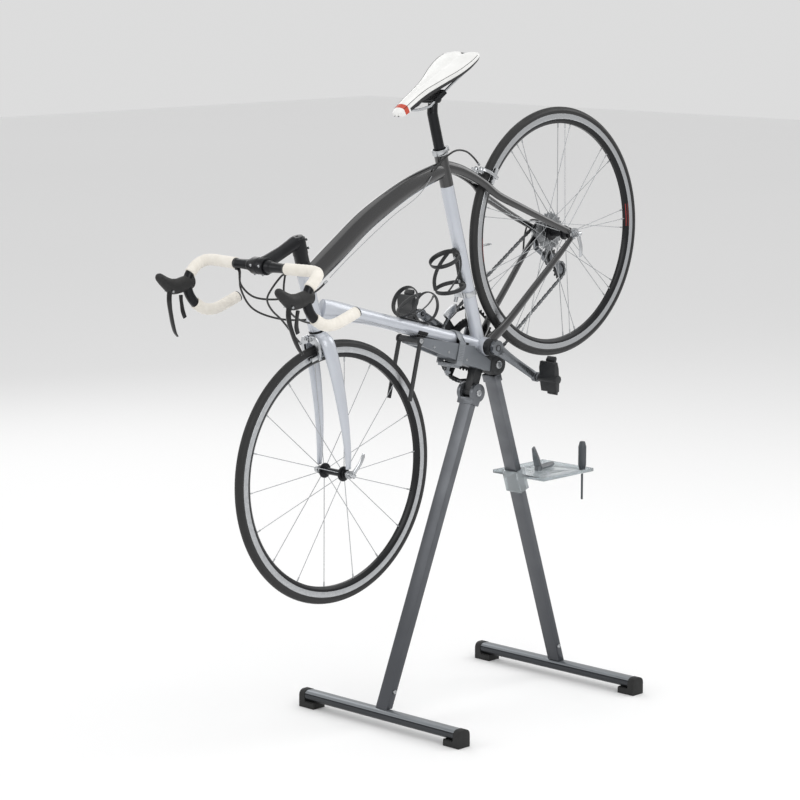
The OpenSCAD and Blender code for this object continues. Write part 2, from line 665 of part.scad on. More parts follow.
module seatpost() {
    color([0.08, 0.08, 0.08]) {
        on_seat_tube() translate([0, 0, post_foot]) cylinder(r = post_r, h = post_bend - post_foot);
        difference() {
            on_bike() union() {
                translate(post_bend * [-cos(seat_angle), 0, sin(seat_angle)]) sphere(r = post_r);
                rod(post_bend * [-cos(seat_angle), 0, sin(seat_angle)], [-206, 0, rail_w - 8], post_r, 12);
                barrel([-208, rail_w - 6], 11, -18, 18);
                box(-232, -186, -27, 27, rail_w - 6, rail_w + 6);
            }
            on_bike() both_sides() rod([-260, 22, rail_w], [-160, 22, rail_w], 3.5 + run_gap);
        }
    }
}

module seat_clamp() {
    color([0.7, 0.7, 0.72]) on_seat_tube() {
        difference() {
            union() {
                translate([0, 0, seat_top - 15]) cylinder(r = seat_tube_r + 3, h = 15);
                box(-seat_tube_r - 10, -seat_tube_r + 2, -7, 7, seat_top - 14, seat_top - 1);
            }
            translate([0, 0, seat_top - 20]) cylinder(r = seat_tube_r + run_gap, h = 30);
            box(-seat_tube_r - 12, -seat_tube_r + 4, -1, 1, seat_top - 16, seat_top + 1);
        }
    }
}

saddle_lift = rail_w - 649;
saddle_knots = [[-74, 0, 690, 13, 6], [-84, 0, 690, 18, 10], [-120, 0, 690, 20, 12], [-180, 0, 688, 24, 12],
    [-230, 0, 682, 42, 13], [-280, 0, 674, 60, 15], [-330, 0, 669, 66, 15], [-360, 0, 667, 58, 12],
        [-374, 0, 666, 44, 5]];

module saddle() {
    color("white") on_bike() translate([0, 0, saddle_lift]) sweep(saddle_knots, 24, 3);
}

rail_knots = [[-112, 9, 27], [-134, 16, 12], [-166, 22, 0], [-176, 22, 0], [-186, 22, 0], [-236, 22, 0],
    [-262, 22, 0],
    [-300, 26, 1], [-336, 32, 4]];

module saddle_rails() {
    color("silver") on_bike() translate([0, 0, rail_w]) both_sides()
        sweep(route(rail_knots, 3.4), 10, 2);
}

// ---------------------------------------------------------------- wheels

module tyre() {
    rotate([90, 0, 0]) rotate_extrude($fn = 96) translate([wheel_r - tyre_w / 2, 0]) difference() {
        circle(r = tyre_w / 2, $fn = 32);
        circle(r = tyre_w / 2 - 2, $fn = 32);
        translate([-tyre_w, -tyre_w]) square([tyre_w - 6, 2 * tyre_w]);
    }
}

module rim() {
    outer = wheel_r - 17.5;
    rotate([90, 0, 0]) rotate_extrude($fn = 96) difference() {
        polygon([[rim_in_r, -4], [rim_in_r + 6, -8.4], [rim_in_r + 11, -10], [outer, -10], [outer, -7.6],
            [rim_bed_r, -7.6], [rim_bed_r, 7.6], [outer, 7.6], [outer, 10], [rim_in_r + 11, 10],
            [rim_in_r + 6, 8.4], [rim_in_r, 4]]);
    }
}

module rim_with_holes() {
    difference() {
        rim();
        rotate([0, 90, 0]) translate([0, 0, rim_in_r - 10]) cylinder(r = 3.2, h = 40);
        rotate([90, 0, 0]) rotate_extrude($fn = 96)
            polygon([[rim_in_r + 2, -3.4], [rim_in_r + 7, -7], [rim_in_r + 12, -8.4], [rim_bed_r - 1.6, -8.4],
                [rim_bed_r - 1.6, 8.4], [rim_in_r + 12, 8.4], [rim_in_r + 7, 7], [rim_in_r + 2, 3.4]]);
    }
}

// Spoke from the hub flange at angle a and side y to the rim at angle b
module spoke(hub_r, a, y, b, rim_y) {
    from = [hub_r * cos(a), y, hub_r * sin(a)];
    to = [rim_in_r * cos(b), rim_y, rim_in_r * sin(b)];
    rod(from, to, 1);
    // nipple
    rod(to + 12 * unit(from - to), to, 2);
}

front_flange_y = 33;
rear_flange_left = 34;
rear_flange_right = -13;
spoke_cross = 2;                      // half the step that lets crossed spokes pass each other

module front_tyre() { color([0.08, 0.08, 0.08]) on_front_wheel() tyre(); }
module rear_tyre() { color([0.08, 0.08, 0.08]) on_rear_wheel() tyre(); }
module front_rim() { color("silver") on_front_wheel() rim_with_holes(); }
module rear_rim() { color("silver") on_rear_wheel() rim_with_holes(); }

module front_spokes() {
    color("silver") on_front_wheel() for (i = [0:front_spoke_count - 1])
        let (a = 360 * (i + 0.5) / front_spoke_count, s = i % 2 == 0 ? 1 : -1)
        spoke(19, a, s * front_flange_y, a, s * 1.5);
}

module rear_spokes() {
    color("silver") on_rear_wheel() for (i = [0:rear_spoke_groups - 1])
        let (a = 360 * (i + 0.25) / rear_spoke_groups) {
            spoke(19, a, rear_flange_left, a, 1.5);
            spoke(24, a - 62, rear_flange_right - spoke_cross, a + 5, -1.5);
            spoke(24, a + 62, rear_flange_right + spoke_cross, a - 5, -1.5);
        }
}

module front_hub() {
    color([0.1, 0.1, 0.1]) on_front_wheel() difference() {
        union() {
            barrel([0, 0], 9, -44, 44);
            both_sides() barrel([0, 0], 19, front_flange_y - 2.5, front_flange_y + 2.5);
            both_sides() barrel([0, 0], 13, front_flange_y, front_flange_y + 8);
        }
        barrel([0, 0], 4.5 + run_gap, -60, 60);
    }
}

module rear_hub() {
    color([0.1, 0.1, 0.1]) on_rear_wheel() difference() {
        union() {
            barrel([0, 0], 13, rear_flange_right - 3, 46);
            barrel([0, 0], 19, rear_flange_left - 2.5, rear_flange_left + 2.5);
            barrel([0, 0], 24, rear_flange_right - 3, rear_flange_right + 3);
            barrel([0, 0], 15, rear_flange_left, rear_flange_left + 18);
        }
        barrel([0, 0], 6 + run_gap, -80, 80);
    }
}

module front_axle() {
    half = front_old / 2;
    color("silver") on_front_wheel() {
        barrel([0, 0], 4.5, -half - 4, half + 4);
        both_sides() barrel([0, 0], 8, 45, half + 0.5);
        barrel([0, 0], 2.5, -half - 14, half + 5);
        barrel([0, 0], 8, -half - 13, -half - 4);
        barrel([0, 0], 9.5, half + 4, half + 9);
        release_fork(half + 9, front_lever_lay);
    }
}

module rear_axle() {
    half = rear_old / 2;
    color("silver") on_rear_wheel() {
        barrel([0, 0], 6, -half - 7, half + 7);
        both_sides() barrel([0, 0], 9, 60, half + 1);
        barrel([0, 0], 2.5, -half - 18, half + 8);
        barrel([0, 0], 9, -half - 17, -half - 7);
        barrel([0, 0], 9.5, half + 7, half + 12);
        release_fork(half + 12, rear_lever_lay);
    }
}

front_lever_lay = 160; // directions in which the closed levers lie, in the bicycle's frame
rear_lever_lay = 297;

release_r = 6.2;      // round root of the lever
release_out = 7;      // from the skewer's cap to the cross pin

// Frame of a lever at y: x runs along the closed lever, z along its cross pin
module on_release(y, lay) {
    translate([0, y, 0]) rotate([0, -lay, 0]) children();
}

// Fork on the skewer's end, with the lever's cross pin
module release_fork(y, lay) {
    on_release(y, lay) {
        for (s = [-1, 1]) translate([-4, -1, s * 7.7 - 0.9]) cube([8, release_out + 4, 1.8]);
        translate([0, release_out, -8.6]) cylinder(r = 1.5, h = 17.2);
    }
}

module release_lever(y, lay) {
    on_release(y, lay) difference() {
        union() {
            translate([0, release_out, -6.4]) cylinder(r = release_r, h = 12.8);
            sweep([[0, 7, 0, 4, 6], [14, 8, 0, 4, 6], [34, 12, 0, 3, 6], [54, 10, 0, 2.5, 7],
                [62, 8, 0, 2, 5]], 10, 2);
        }
        translate([0, release_out, -10]) cylinder(r = 1.5 + run_gap, h = 20);
    }
}

module front_quick_release() { color("dimgray") on_front_wheel() release_lever(front_old / 2 + 9,
    front_lever_lay); }
module rear_quick_release() { color("silver") on_rear_wheel() release_lever(rear_old / 2 + 12,
    rear_lever_lay); }

// ---------------------------------------------------------------- drivetrain

module cassette() {
    color("silver") on_rear_wheel() difference() {
        union() {
            barrel([0, 0], 17, -57.5, -17);
            for (i = [0:len(cogs) - 1])
                let (y = chain_y + (i - chain_cog) * cog_step)
                slab(y - 0.8, y + 0.8) teeth(cogs[i]);
        }
        barrel([0, 0], 6 + run_gap, -80, 80);
    }
}

module bottom_bracket() {
    color([0.08, 0.08, 0.08]) on_bike() difference() {
        union() {
            barrel([0, 0], 23, shell_w / 2, 55);
            barrel([0, 0], 17.5 - run_gap, 18, shell_w / 2);
            barrel([0, 0], 23, -41, -shell_w / 2);
            barrel([0, 0], 17.5 - run_gap, -shell_w / 2, -18);
        }
        barrel([0, 0], spindle_r + run_gap, -60, 60);
    }
}

left_pedal_at = polar(crank_len, crank_angle);
right_pedal_at = -left_pedal_at;

module crank_arm(to, y0, y1) {
    dir = to / norm(to);
    barrel([0, 0], 20, y0, y0 + 13);
    barrel(to, 13, y1 - 1, y1 + 12);
    sweep([[dir[0] * 6, y0 + 7, dir[1] * 6, 5, 17], [dir[0] * 60, y0 + 7, dir[1] * 60, 6, 13],
        [dir[0] * 120, (y0 + y1) / 2 + 6, dir[1] * 120, 6, 12], [to[0], y1 + 6, to[1], 5, 12]], 14, 3);
}

module crankset() {
    color([0.2, 0.2, 0.22]) on_bike() difference() {
        union() {
            barrel([0, 0], spindle_r, -56, 57);
            crank_arm(left_pedal_at, 55.4, 66);
            mirror([0, 1, 0]) crank_arm(right_pedal_at, 55.4, 66);
            // five-armed spider that carries the chainrings
            for (k = [0:4]) slab(-52, chain_y - 1) rotate(crank_angle + 36 + 72 * k)
                polygon([[10, -11], [50, -8], [62, -5], [62, 5], [50, 8], [10, 11]]);
            barrel([0, 0], 22, -56, -45);
            barrel([0, 0], 9, 57, 70);
        }
        for (at = [left_pedal_at, right_pedal_at]) barrel(at, 7, -90, 90);
    }
}

inner_ring_y = chain_y + 7;

module chainrings() {
    color([0.2, 0.2, 0.2]) on_bike() {
        difference() {
            union() {
                slab(chain_y - 1, chain_y + 1) teeth(big_ring);
                slab(inner_ring_y - 1, inner_ring_y + 1) teeth(small_ring);
            }
            barrel([0, 0], 48, -80, 0);
            slab(chain_y - 2, chain_y + 2) for (k = [0:4]) rotate(crank_angle + 72 * k) difference() {
                polygon([[64, -24], [88, -32], [94, 0], [88, 32], [64, 24], [66, 0]]);
            }
        }
        for (k = [0:4]) let (at = polar(55, crank_angle + 36 + 72 * k))
            barrel(at, 5, chain_y + 1, inner_ring_y - 1);
    }
}

// Pedal about its axle: a clipless body with a front hook and a rear clip
module pedal() {
    difference() {
        union() {
            barrel([0, 0], 11, 86, 150);
            slab(92, 146) polygon([[-12, -8], [30, -9], [46, -4], [46, 4], [28, 8], [-12, 8], [-34, 5],
                [-34, -5]]);
            slab(104, 134) polygon([[24, 6], [50, 6], [58, 14], [52, 16], [40, 11], [24, 11]]);
            slab(104, 134) polygon([[-20, 6], [-42, 5], [-46, 12], [-36, 15], [-20, 11]]);
        }
        barrel([0, 0], 7 + run_gap, 60, 146);
    }
}

module left_pedal() { color([0.1, 0.1, 0.1]) on_bike() translate([left_pedal_at[0], 0, left_pedal_at[1]])
    rotate([0, -pedal_tilt, 0]) pedal(); }
module right_pedal() { color([0.1, 0.1, 0.1]) on_bike() translate([right_pedal_at[0], 0, right_pedal_at[1]])
    mirror([0, 1, 0]) rotate([0, -pedal_tilt, 0]) pedal(); }

// Chain path. Each wheel is [centre, signed radius]: the chain runs clockwise round a positive
// wheel, seen from the left, and the other way round a negative one.
chain_wheels = [
    [[0, 0], pitch_r(big_ring)],
    [lower_pulley, pitch_r(pulley_teeth)],
    [upper_pulley, -pitch_r(pulley_teeth)],
    [[rear_hub_at[0], rear_hub_at[2]], pitch_r(cogs[chain_cog])]];

// Direction of the left normal of the run from wheel a to wheel b
function run_normal(a, b) =
    let (d = b[0] - a[0]) atan2(d[1], d[0]) + acos((a[1] - b[1]) / norm(d));
function leave_at(i) = run_normal(chain_wheels[i], chain_wheels[(i + 1) % 4]);
function wrap(i) =
    let (w = chain_wheels[i], out = leave_at(i), come = leave_at((i + 3) % 4),
        turn = w[1] > 0 ? -((come - out) % 360 + 360) % 360 : ((out - come) % 360 + 360) % 360)
    [come, turn];
function chain_loop(off) = [for (i = [0:3]) let (w = chain_wheels[i],
    g = wrap(i), n = max(4, ceil(abs(g[1]) / 8)))
    for (k = [0:n]) w[0] + polar(w[1] + off, g[0] + g[1] * k / n)];

module chain_run(i) {
    a = chain_wheels[i];
    b = chain_wheels[(i + 1) % 4];
    n = leave_at(i);
    from = a[0] + polar(a[1], n);
    to = b[0] + polar(b[1], n);
    count = floor(norm(to - from) / pitch);
    // pins start three links out, where the run has left the teeth
    for (k = [3:1:count - 3]) barrel(from + (to - from) * k / count, 2, chain_y - 3, chain_y + 3);
}

module chain() {
    color([0.3, 0.3, 0.3]) on_bike() {
        for (y = [chain_y - 3, chain_y + 1.9]) slab(y, y + 1.1) difference() {
            polygon(chain_loop(4.2));
            polygon(chain_loop(-4.2));
        }
        chain_run(0);
        chain_run(3);
    }
}

module front_derailleur() {
    ring_r = pitch_r(big_ring);
    color([0.25, 0.25, 0.26]) {
        on_seat_tube() difference() {
            union() {
                translate([0, 0, 142]) cylinder(r = seat_tube_r + 3, h = 14);
                box(-8, 14, -40, -8, 140, 158);
            }
            translate([0, 0, 130]) cylinder(r = seat_tube_r + run_gap, h = 40);
        }
        on_bike() {
            for (y = [chain_y - 5.2, chain_y + 4.2]) slab(y, y + 1)
                polygon(concat([for (k = [0:6]) polar(ring_r - 2, 78 + 4 * k)],
                    [for (k = [6:-1:0]) polar(ring_r + 17, 78 + 4 * k)]));
            slab(chain_y - 5.2, chain_y + 5.2)
                polygon(concat([for (k = [0:6]) polar(ring_r + 13, 78 + 4 * k)],
                    [for (k = [6:-1:0]) polar(ring_r + 17, 78 + 4 * k)]));
            rod([-44, -36, 146], [-24, -42, 123], 5);
        }
    }
}

module rear_derailleur() {
    color([0.3, 0.3, 0.32]) on_bike() {
        for (y = [chain_y - 5.4, chain_y + 4.4]) slab(y, y + 1) {
            for (c = [upper_pulley, lower_pulley]) translate(c) circle(r = 10);
            polygon([upper_pulley + [-10, 2], upper_pulley + [10, 0], lower_pulley + [10, -2],
                lower_pulley + [-10, 0]]);
        }
        for (c = [upper_pulley, lower_pulley]) barrel(c, 2.5 - run_gap / 2, chain_y - 5, chain_y + 5);
        barrel(upper_pulley, 13, -70, chain_y - 5.2);
        rod([upper_pulley[0] + 1, -63, upper_pulley[1] + 2], [-377, -67, 26], 7.3);
        rod([-375, -66.5, 25.2], [-398, -77, 44], 8.1);
        barrel([-400, 47], 10.2, -84, -72.4);
        // barrel adjuster that takes the shift housing
        rod([-392, -62, -9], [-419, -71, 4.4], 3.5);
    }
}

module jockey_wheel(at) {
    color([0.15, 0.15, 0.15]) on_bike() difference() {
        union() {
            translate([at[0], 0, at[1]]) slab(chain_y - 1, chain_y + 1) teeth(pulley_teeth);
            barrel(at, 7, chain_y - 3.9, chain_y + 3.9);
        }
        barrel(at, 2.5 + run_gap, -60, -30);
    }
}

module upper_jockey_wheel() { jockey_wheel(upper_pulley); }
module lower_jockey_wheel() { jockey_wheel(lower_pulley); }

// ---------------------------------------------------------------- brakes and cages

brake_rise = 22;      // caliper pivots over the tyre
brake_stud_y = 9;
brake_arm_t = 8;
rear_brake_lean = 60; // direction from the rear hub to the brake, in the bicycle's frame

module slab_x(x0, x1) {
    translate([x0, 0, 0]) rotate([90, 0, 90]) linear_extrude(x1 - x0) children();
}

// One arm of a caliper over a wheel: x points away from the frame, z up the wheel's radius, and
// y = 0 is the wheel's plane
module caliper_arm(depth) {
    top = wheel_r + brake_rise;
    rim_z = wheel_r - 24;
    difference() {
        union() {
            slab_x(depth, depth + brake_arm_t) polygon([[2, top - 9], [9, top + 2], [22, top + 4],
                [31, top - 12],
                [30, rim_z + 8], [26, rim_z - 9], [20, rim_z - 9], [22, rim_z + 10], [20, top - 16]]);
            slab_x(depth, depth + brake_arm_t) translate([brake_stud_y, top]) circle(r = 7.5);
        }
        slab_x(depth - 1, depth + 10) translate([brake_stud_y, top]) circle(r = 3 + run_gap);
    }
    // shoe and pad
    translate([depth - 16, 14, rim_z - 6]) cube([44, 7, 10]);
    translate([depth - 14, 11.6, rim_z - 5]) cube([40, 2.4, 8]);
}

// Plate with the two pivot studs, and the bolt that holds it to the frame or fork
module caliper_mount(depth, bolt_from) {
    top = wheel_r + brake_rise;
    slab_x(depth - 3.4, depth - 0.4) polygon([[-16, top - 6], [16, top - 6], [16, top + 6], [-16, top + 6]]);
    for (s = [-1, 1]) {
        slab_x(depth - 3.4, depth + 9) translate([s * brake_stud_y, top]) circle(r = 3);
        slab_x(depth + 8.4, depth + 11) translate([s * brake_stud_y, top]) circle(r = 5);
    }
    slab_x(bolt_from, depth - 3.3) translate([0, top]) circle(r = 4);
}

front_brake_depth = -15;
rear_brake_depth = 22;
module on_front_brake() { on_steerer() translate([fork_rake, 0, 0]) children(); }
module on_rear_brake() { on_rear_wheel() rotate([0, 90 - rear_brake_lean, 0]) mirror([1, 0, 0]) children(); }

module front_brake_left() { color("silver") on_front_brake() caliper_arm(front_brake_depth); }
module front_brake_right() { color("silver") mirror([0, 1,
    0]) on_front_brake() caliper_arm(front_brake_depth); }
module rear_brake_left() { color("silver") on_rear_brake() caliper_arm(rear_brake_depth); }
module rear_brake_right() { color("silver") mirror([0, 1, 0]) on_rear_brake() caliper_arm(rear_brake_depth); }

cage_r = 37.5;
seat_cage_at = 165;                   // from the bottom bracket, along each tube
down_cage_at = 205;

module bottle_cage() {
    slab_x(0, 5) difference() {
        translate([-9, 0]) square([18, 118]);
        for (z = [20, 84]) translate([0, z]) circle(r = 3);
    }
    for (z = [16, 104]) translate([cage_r + 5, 0, z]) difference() {
        cylinder(r = cage_r + 4, h = 12);
        translate([0, 0, -1]) cylinder(r = cage_r, h = 14);
    }
}

module bottle_cages() {
    color([0.08, 0.08, 0.08]) {
        on_seat_tube() translate([seat_tube_r, 0, seat_cage_at]) bottle_cage();
        on_down_tube() translate([down_cage_at, 0, down_r + 0.3]) rotate([0, 90, 0]) mirror([1, 0, 0])
            bottle_cage();
    }
}

// ---------------------------------------------------------------- output

support_beam();
beam_pads();
stand_head();
clamp_strap();
stand_pins();
front_leg();
rear_leg();
front_foot_bar();
rear_foot_bar();
front_feet();
rear_feet();
fork_rest();
tool_tray();
screwdriver();
pliers();
frame();
fork();
headset();
stem();
handlebar();
bar_tape();
lever_hoods();
left_brake_lever();
right_brake_lever();
left_shift_lever();
right_shift_lever();
front_cables();
frame_cables();
seatpost();
seat_clamp();
saddle();
saddle_rails();
front_tyre();
front_rim();
front_spokes();
front_hub();
front_axle();
front_quick_release();
rear_tyre();
rear_rim();
rear_spokes();
rear_hub();
cassette();
rear_axle();
rear_quick_release();
bottom_bracket();
crankset();
chainrings();
left_pedal();
right_pedal();
chain();
front_derailleur();
rear_derailleur();
upper_jockey_wheel();
lower_jockey_wheel();
front_brake_left();
front_brake_right();
rear_brake_left();
rear_brake_right();
bottle_cages();
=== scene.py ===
import json
import math

import bmesh
import bpy
import numpy as np
from mathutils import Matrix, Vector

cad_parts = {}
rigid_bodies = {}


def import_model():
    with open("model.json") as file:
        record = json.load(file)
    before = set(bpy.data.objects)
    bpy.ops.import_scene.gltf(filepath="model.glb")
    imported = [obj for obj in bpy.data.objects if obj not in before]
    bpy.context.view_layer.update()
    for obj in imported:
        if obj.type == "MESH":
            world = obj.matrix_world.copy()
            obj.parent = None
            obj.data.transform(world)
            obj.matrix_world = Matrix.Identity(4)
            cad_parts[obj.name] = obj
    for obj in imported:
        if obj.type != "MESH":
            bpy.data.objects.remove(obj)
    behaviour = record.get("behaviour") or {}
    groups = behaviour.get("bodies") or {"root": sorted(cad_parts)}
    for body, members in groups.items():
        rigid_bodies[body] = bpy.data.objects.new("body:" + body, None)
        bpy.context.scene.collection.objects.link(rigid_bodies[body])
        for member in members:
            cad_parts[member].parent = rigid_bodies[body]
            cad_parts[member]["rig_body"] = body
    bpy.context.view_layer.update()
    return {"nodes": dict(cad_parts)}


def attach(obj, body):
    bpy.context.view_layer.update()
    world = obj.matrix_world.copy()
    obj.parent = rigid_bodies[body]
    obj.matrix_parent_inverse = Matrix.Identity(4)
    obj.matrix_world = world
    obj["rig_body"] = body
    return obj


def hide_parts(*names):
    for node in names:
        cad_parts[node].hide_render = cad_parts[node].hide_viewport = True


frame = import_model()

# ---------------------------------------------------------------- studio
# A pale seamless floor under large soft lamps, as in a product studio, with a long lens that
# stands five metres out, to the left of the handlebar and a little above it.

eye = Vector((5.16465, 4.8437, 2.0169))
camera_data = bpy.data.cameras.new("camera")
camera_data.lens = 124.6
camera_data.sensor_width = 36.0
camera_data.clip_end = 60.0
camera = bpy.data.objects.new("camera", camera_data)
camera.location = eye
camera.rotation_euler = Vector((-0.7094, -0.6851, -0.1656)).to_track_quat("-Z", "Y").to_euler()
bpy.context.scene.collection.objects.link(camera)
bpy.context.scene.camera = camera


def srgb(code, alpha=1.0):
    """Linear colour of an sRGB hex value."""
    parts = [int(code[i:i + 2], 16) / 255 for i in (1, 3, 5)]
    return (*[p / 12.92 if p <= 0.04045 else ((p + 0.055) / 1.055) ** 2.4 for p in parts], alpha)


def add(tree, kind, values=None, **settings):
    """Adds a node. Each of values is a number, a colour, or the output that feeds that input."""
    made = tree.nodes.new(kind)
    for key, value in settings.items():
        setattr(made, key, value)
    for key, value in (values or {}).items():
        if isinstance(value, bpy.types.NodeSocket):
            tree.links.new(value, made.inputs[key])
        else:
            made.inputs[key].default_value = value
    return made


def new_material(name):
    """An empty principled material: its tree, its shader and itself."""
    made = bpy.data.materials.new(name)
    made.use_nodes = True
    return made.node_tree, made.node_tree.nodes["Principled BSDF"], made


tree, shader, floor_paper = new_material("floor_paper")
grain = add(tree, "ShaderNodeTexNoise", {"Scale": 3.0, "Detail": 3.0})
shade = add(tree, "ShaderNodeMix",
            {"Factor": grain.outputs["Fac"], "A": srgb("#F4F4F4"), "B": srgb("#FAFAFA")},
            data_type="RGBA")
tree.links.new(shade.outputs["Result"], shader.inputs["Base Color"])
shader.inputs["Roughness"].default_value = 0.85
bpy.ops.mesh.primitive_plane_add(size=40.0, location=(0, 0, -0.0005))
floor = bpy.context.object
floor.name = "floor"
floor.data.materials.append(floor_paper)

for name, place, size, power in (
        ("lamp_front_left", (2.2, 4.6, 3.4), 3.2, 75.0),
        ("lamp_front_right", (4.6, -2.4, 2.8), 2.6, 40.0),
        ("lamp_rear", (-3.6, 1.8, 3.6), 2.8, 45.0),
        ("lamp_right", (-1.6, -4.2, 3.0), 2.6, 30.0),
        ("lamp_top", (0.2, 0.4, 5.2), 4.0, 45.0)):
    lamp = bpy.data.objects.new(name, bpy.data.lights.new(name, "AREA"))
    lamp.data.shape = "SQUARE"
    lamp.data.size = size
    lamp.data.energy = power
    lamp.location = place
    lamp.rotation_euler = (Vector((0, 0, 0.9)) - Vector(place)).to_track_quat("-Z", "Y").to_euler()
    bpy.context.scene.collection.objects.link(lamp)
world = bpy.data.worlds.new("studio")
world.use_nodes = True
world.node_tree.nodes["Background"].inputs["Color"].default_value = srgb("#FFFFFF")
world.node_tree.nodes["Background"].inputs["Strength"].default_value = 0.72
bpy.context.scene.world = world
bpy.context.scene.view_settings.view_transform = "Standard"

# ---------------------------------------------------------------- foot bars
# Two oval aluminium extrusions, 40 x 28 mm, painted dark grey. A groove runs along each side
# under the top, which is painted paler grey as a painted highlight. They stand on moulded rubber end caps with
# ribbed pads.

stand_x = -149.0                 # the bottom bracket over the floor, along the bicycle
bracket_h = 955.0
front_foot = (stand_x + 364.0, 31.5)
rear_foot = (stand_x - 326.0, 31.5)


def coated(name, colour, colour_2, patch_mm, rough, rough_2, grain_mm=0.0, bump_mm=0.0, metallic=0.0,
           **sockets):
    """A finish whose colour and roughness drift over patches, with a fine grain in its surface."""
    tree, shader, made = new_material(name)
    where = add(tree, "ShaderNodeTexCoord").outputs["Object"]
    drift = add(tree, "ShaderNodeTexNoise",
                {"Vector": where, "Scale": 1000.0 / patch_mm, "Detail": 4.0}).outputs["Fac"]
    tone = add(tree, "ShaderNodeMix", {"Factor": drift, "A": srgb(colour), "B": srgb(colour_2)},
               data_type="RGBA")
    tree.links.new(tone.outputs["Result"], shader.inputs["Base Color"])
    wear = add(tree, "ShaderNodeMapRange",
               {"Value": drift, "From Min": 0.3, "From Max": 0.7, "To Min": rough,
                "To Max": rough_2})
    tree.links.new(wear.outputs["Result"], shader.inputs["Roughness"])
    if bump_mm:
        fine = add(tree, "ShaderNodeTexNoise", {"Vector": where, "Scale": 1000.0 / grain_mm, "Detail": 2.0})
        raised = add(tree, "ShaderNodeBump", {"Height": fine.outputs["Fac"], "Strength": 0.5,
                                              "Distance": bump_mm / 1000.0})
        tree.links.new(raised.outputs["Normal"], shader.inputs["Normal"])
    shader.inputs["Metallic"].default_value = metallic
    for key, value in sockets.items():
        shader.inputs[key.replace("_", " ")].default_value = value
    return made


def piece(name, points, faces, body, slot, *materials, marks=None, stands_for=(), sharp=40.0):
    """A finished mesh from points in millimetres. Marks give each face its material."""
    mesh = bpy.data.meshes.new(name)
    mesh.from_pydata([tuple(p) for p in (np.asarray(points, float) / 1000.0)], [],
                     [tuple(f) for f in faces])
    for made in materials:
        mesh.materials.append(made)
    if marks is not None:
        mesh.polygons.foreach_set("material_index", np.asarray(marks, np.int32))
    work = bmesh.new()
    work.from_mesh(mesh)
    bmesh.ops.remove_doubles(work, verts=work.verts, dist=1e-6)
    bmesh.ops.recalc_face_normals(work, faces=work.faces)
    work.to_mesh(mesh)
    work.free()
    mesh.shade_smooth()
    mesh.set_sharp_from_angle(angle=math.radians(sharp))
    made = bpy.data.objects.new(name, mesh)
    bpy.context.scene.collection.objects.link(made)
    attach(made, body)
    if stands_for:
        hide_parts(*stands_for)
    return made


def extruded(name, outline, y0, y1, body, slot, *materials, marks=None, place=None, **more):
    """A bar or plate along Y from an outline in X and Z. Marks give each side its material."""
    n = len(outline)
    points = [(x, y, z) for y in (y0, y1) for x, z in outline]
    if place is not None:
        points = [place @ Vector(p) for p in points]
    faces = [(i, (i + 1) % n, n + (i + 1) % n, n + i) for i in range(n)]
    faces += [tuple(range(n - 1, -1, -1)), tuple(range(n, 2 * n))]
    if marks is not None:
        marks = list(marks) + [marks[0], marks[0]]
    return piece(name, points, faces, body, slot, *materials, marks=marks, **more)


def eased(node, material, width=0.6, sharp=35.0, name=None):
    """A machined or moulded part as the frame has it, with its edges broken by a small round."""
    source = frame["nodes"][node]
    mesh = source.data.copy()
    mesh.materials.clear()
    mesh.materials.append(material)
    work = bmesh.new()
    work.from_mesh(mesh)
    bmesh.ops.remove_doubles(work, verts=work.verts, dist=2e-6)
    bmesh.ops.dissolve_limit(work, angle_limit=math.radians(0.5), verts=work.verts, edges=work.edges)
    work.to_mesh(mesh)
    work.free()
    if mesh.attributes.get("custom_normal"):
        mesh.attributes.remove(mesh.attributes["custom_normal"])
    made = bpy.data.objects.new(name or node + "_finish", mesh)
    bpy.context.scene.collection.objects.link(made)
    edge = made.modifiers.new("edges", "BEVEL")
    edge.width = width / 1000.0
    edge.segments = 2
    edge.limit_method = "ANGLE"
    edge.angle_limit = math.radians(sharp)
    edge.use_clamp_overlap = True
    edge.harden_normals = False
    bpy.context.view_layer.update()
    final = bpy.data.meshes.new_from_object(made.evaluated_get(bpy.context.evaluated_depsgraph_get()))
    made.modifiers.clear()
    made.data = final
    final.shade_smooth()
    final.set_sharp_from_angle(angle=math.radians(sharp))
    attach(made, source["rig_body"])
    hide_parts(node)
    return made


# Anodised aluminium with a metallic dark coat: soft, broad reflections, a fine satin grain.
bar_paint = coated("dark_metallic_paint", "#3B3D40", "#45474A", 60.0, 0.30, 0.40, 0.8, 0.02, 0.75)
# The top of each bar gets a paler grey of the same coat: a painted highlight, not a second paint.
bar_top_painted_highlight = coated("grey_metallic_paint_painted_highlight", "#7E8286", "#8C9094", 60.0, 0.28, 0.38, 0.8, 0.02, 0.75)
# Moulded rubber: nearly black, matte, with a fine sparkle from the mould.
moulded_rubber = coated("moulded_rubber", "#141414", "#1C1C1C", 30.0, 0.62, 0.78, 0.6, 0.05)

oval_r, oval_side = 14.0, 6.0    # round sides of the section, and their offset from its middle
groove_deep = 1.6
bar_half = 268.0
oval = []
for k in range(48):
    angle = math.radians(7.5 * k)
    side = oval_side if math.cos(angle) >= 0 else -oval_side
    oval.append((side + oval_r * math.cos(angle), oval_r * math.sin(angle)))
# the faces across the top take the paler grey, a painted highlight
painted_highlight_marks = [1 if 4 <= k <= 19 else 0 for k in range(48)]
for body, at, node in (("front_leg", front_foot, "front_foot_bar"),
                       ("rear_leg", rear_foot, "rear_foot_bar")):
    outline = [(at[0] + x, at[1] + z) for x, z in oval]
    # a groove along each side, 1.6 mm deep
    for k in (3, 21):
        x, z = oval[k]
        side = math.copysign(oval_side, x)
        r = math.hypot(x - side, z)
        outline[k] = (at[0] + side + (x - side) * (r - groove_deep) / r,
                      at[1] + z * (r - groove_deep) / r)
    extruded(node + "_extrusion", outline, -bar_half, bar_half, body, "anthracite_paint", bar_paint,
             bar_top_painted_highlight,
             marks=painted_highlight_marks, stands_for=(node,), sharp=30.0)
for node in ("front_feet", "rear_feet"):
    eased(node, moulded_rubber, 1.2)
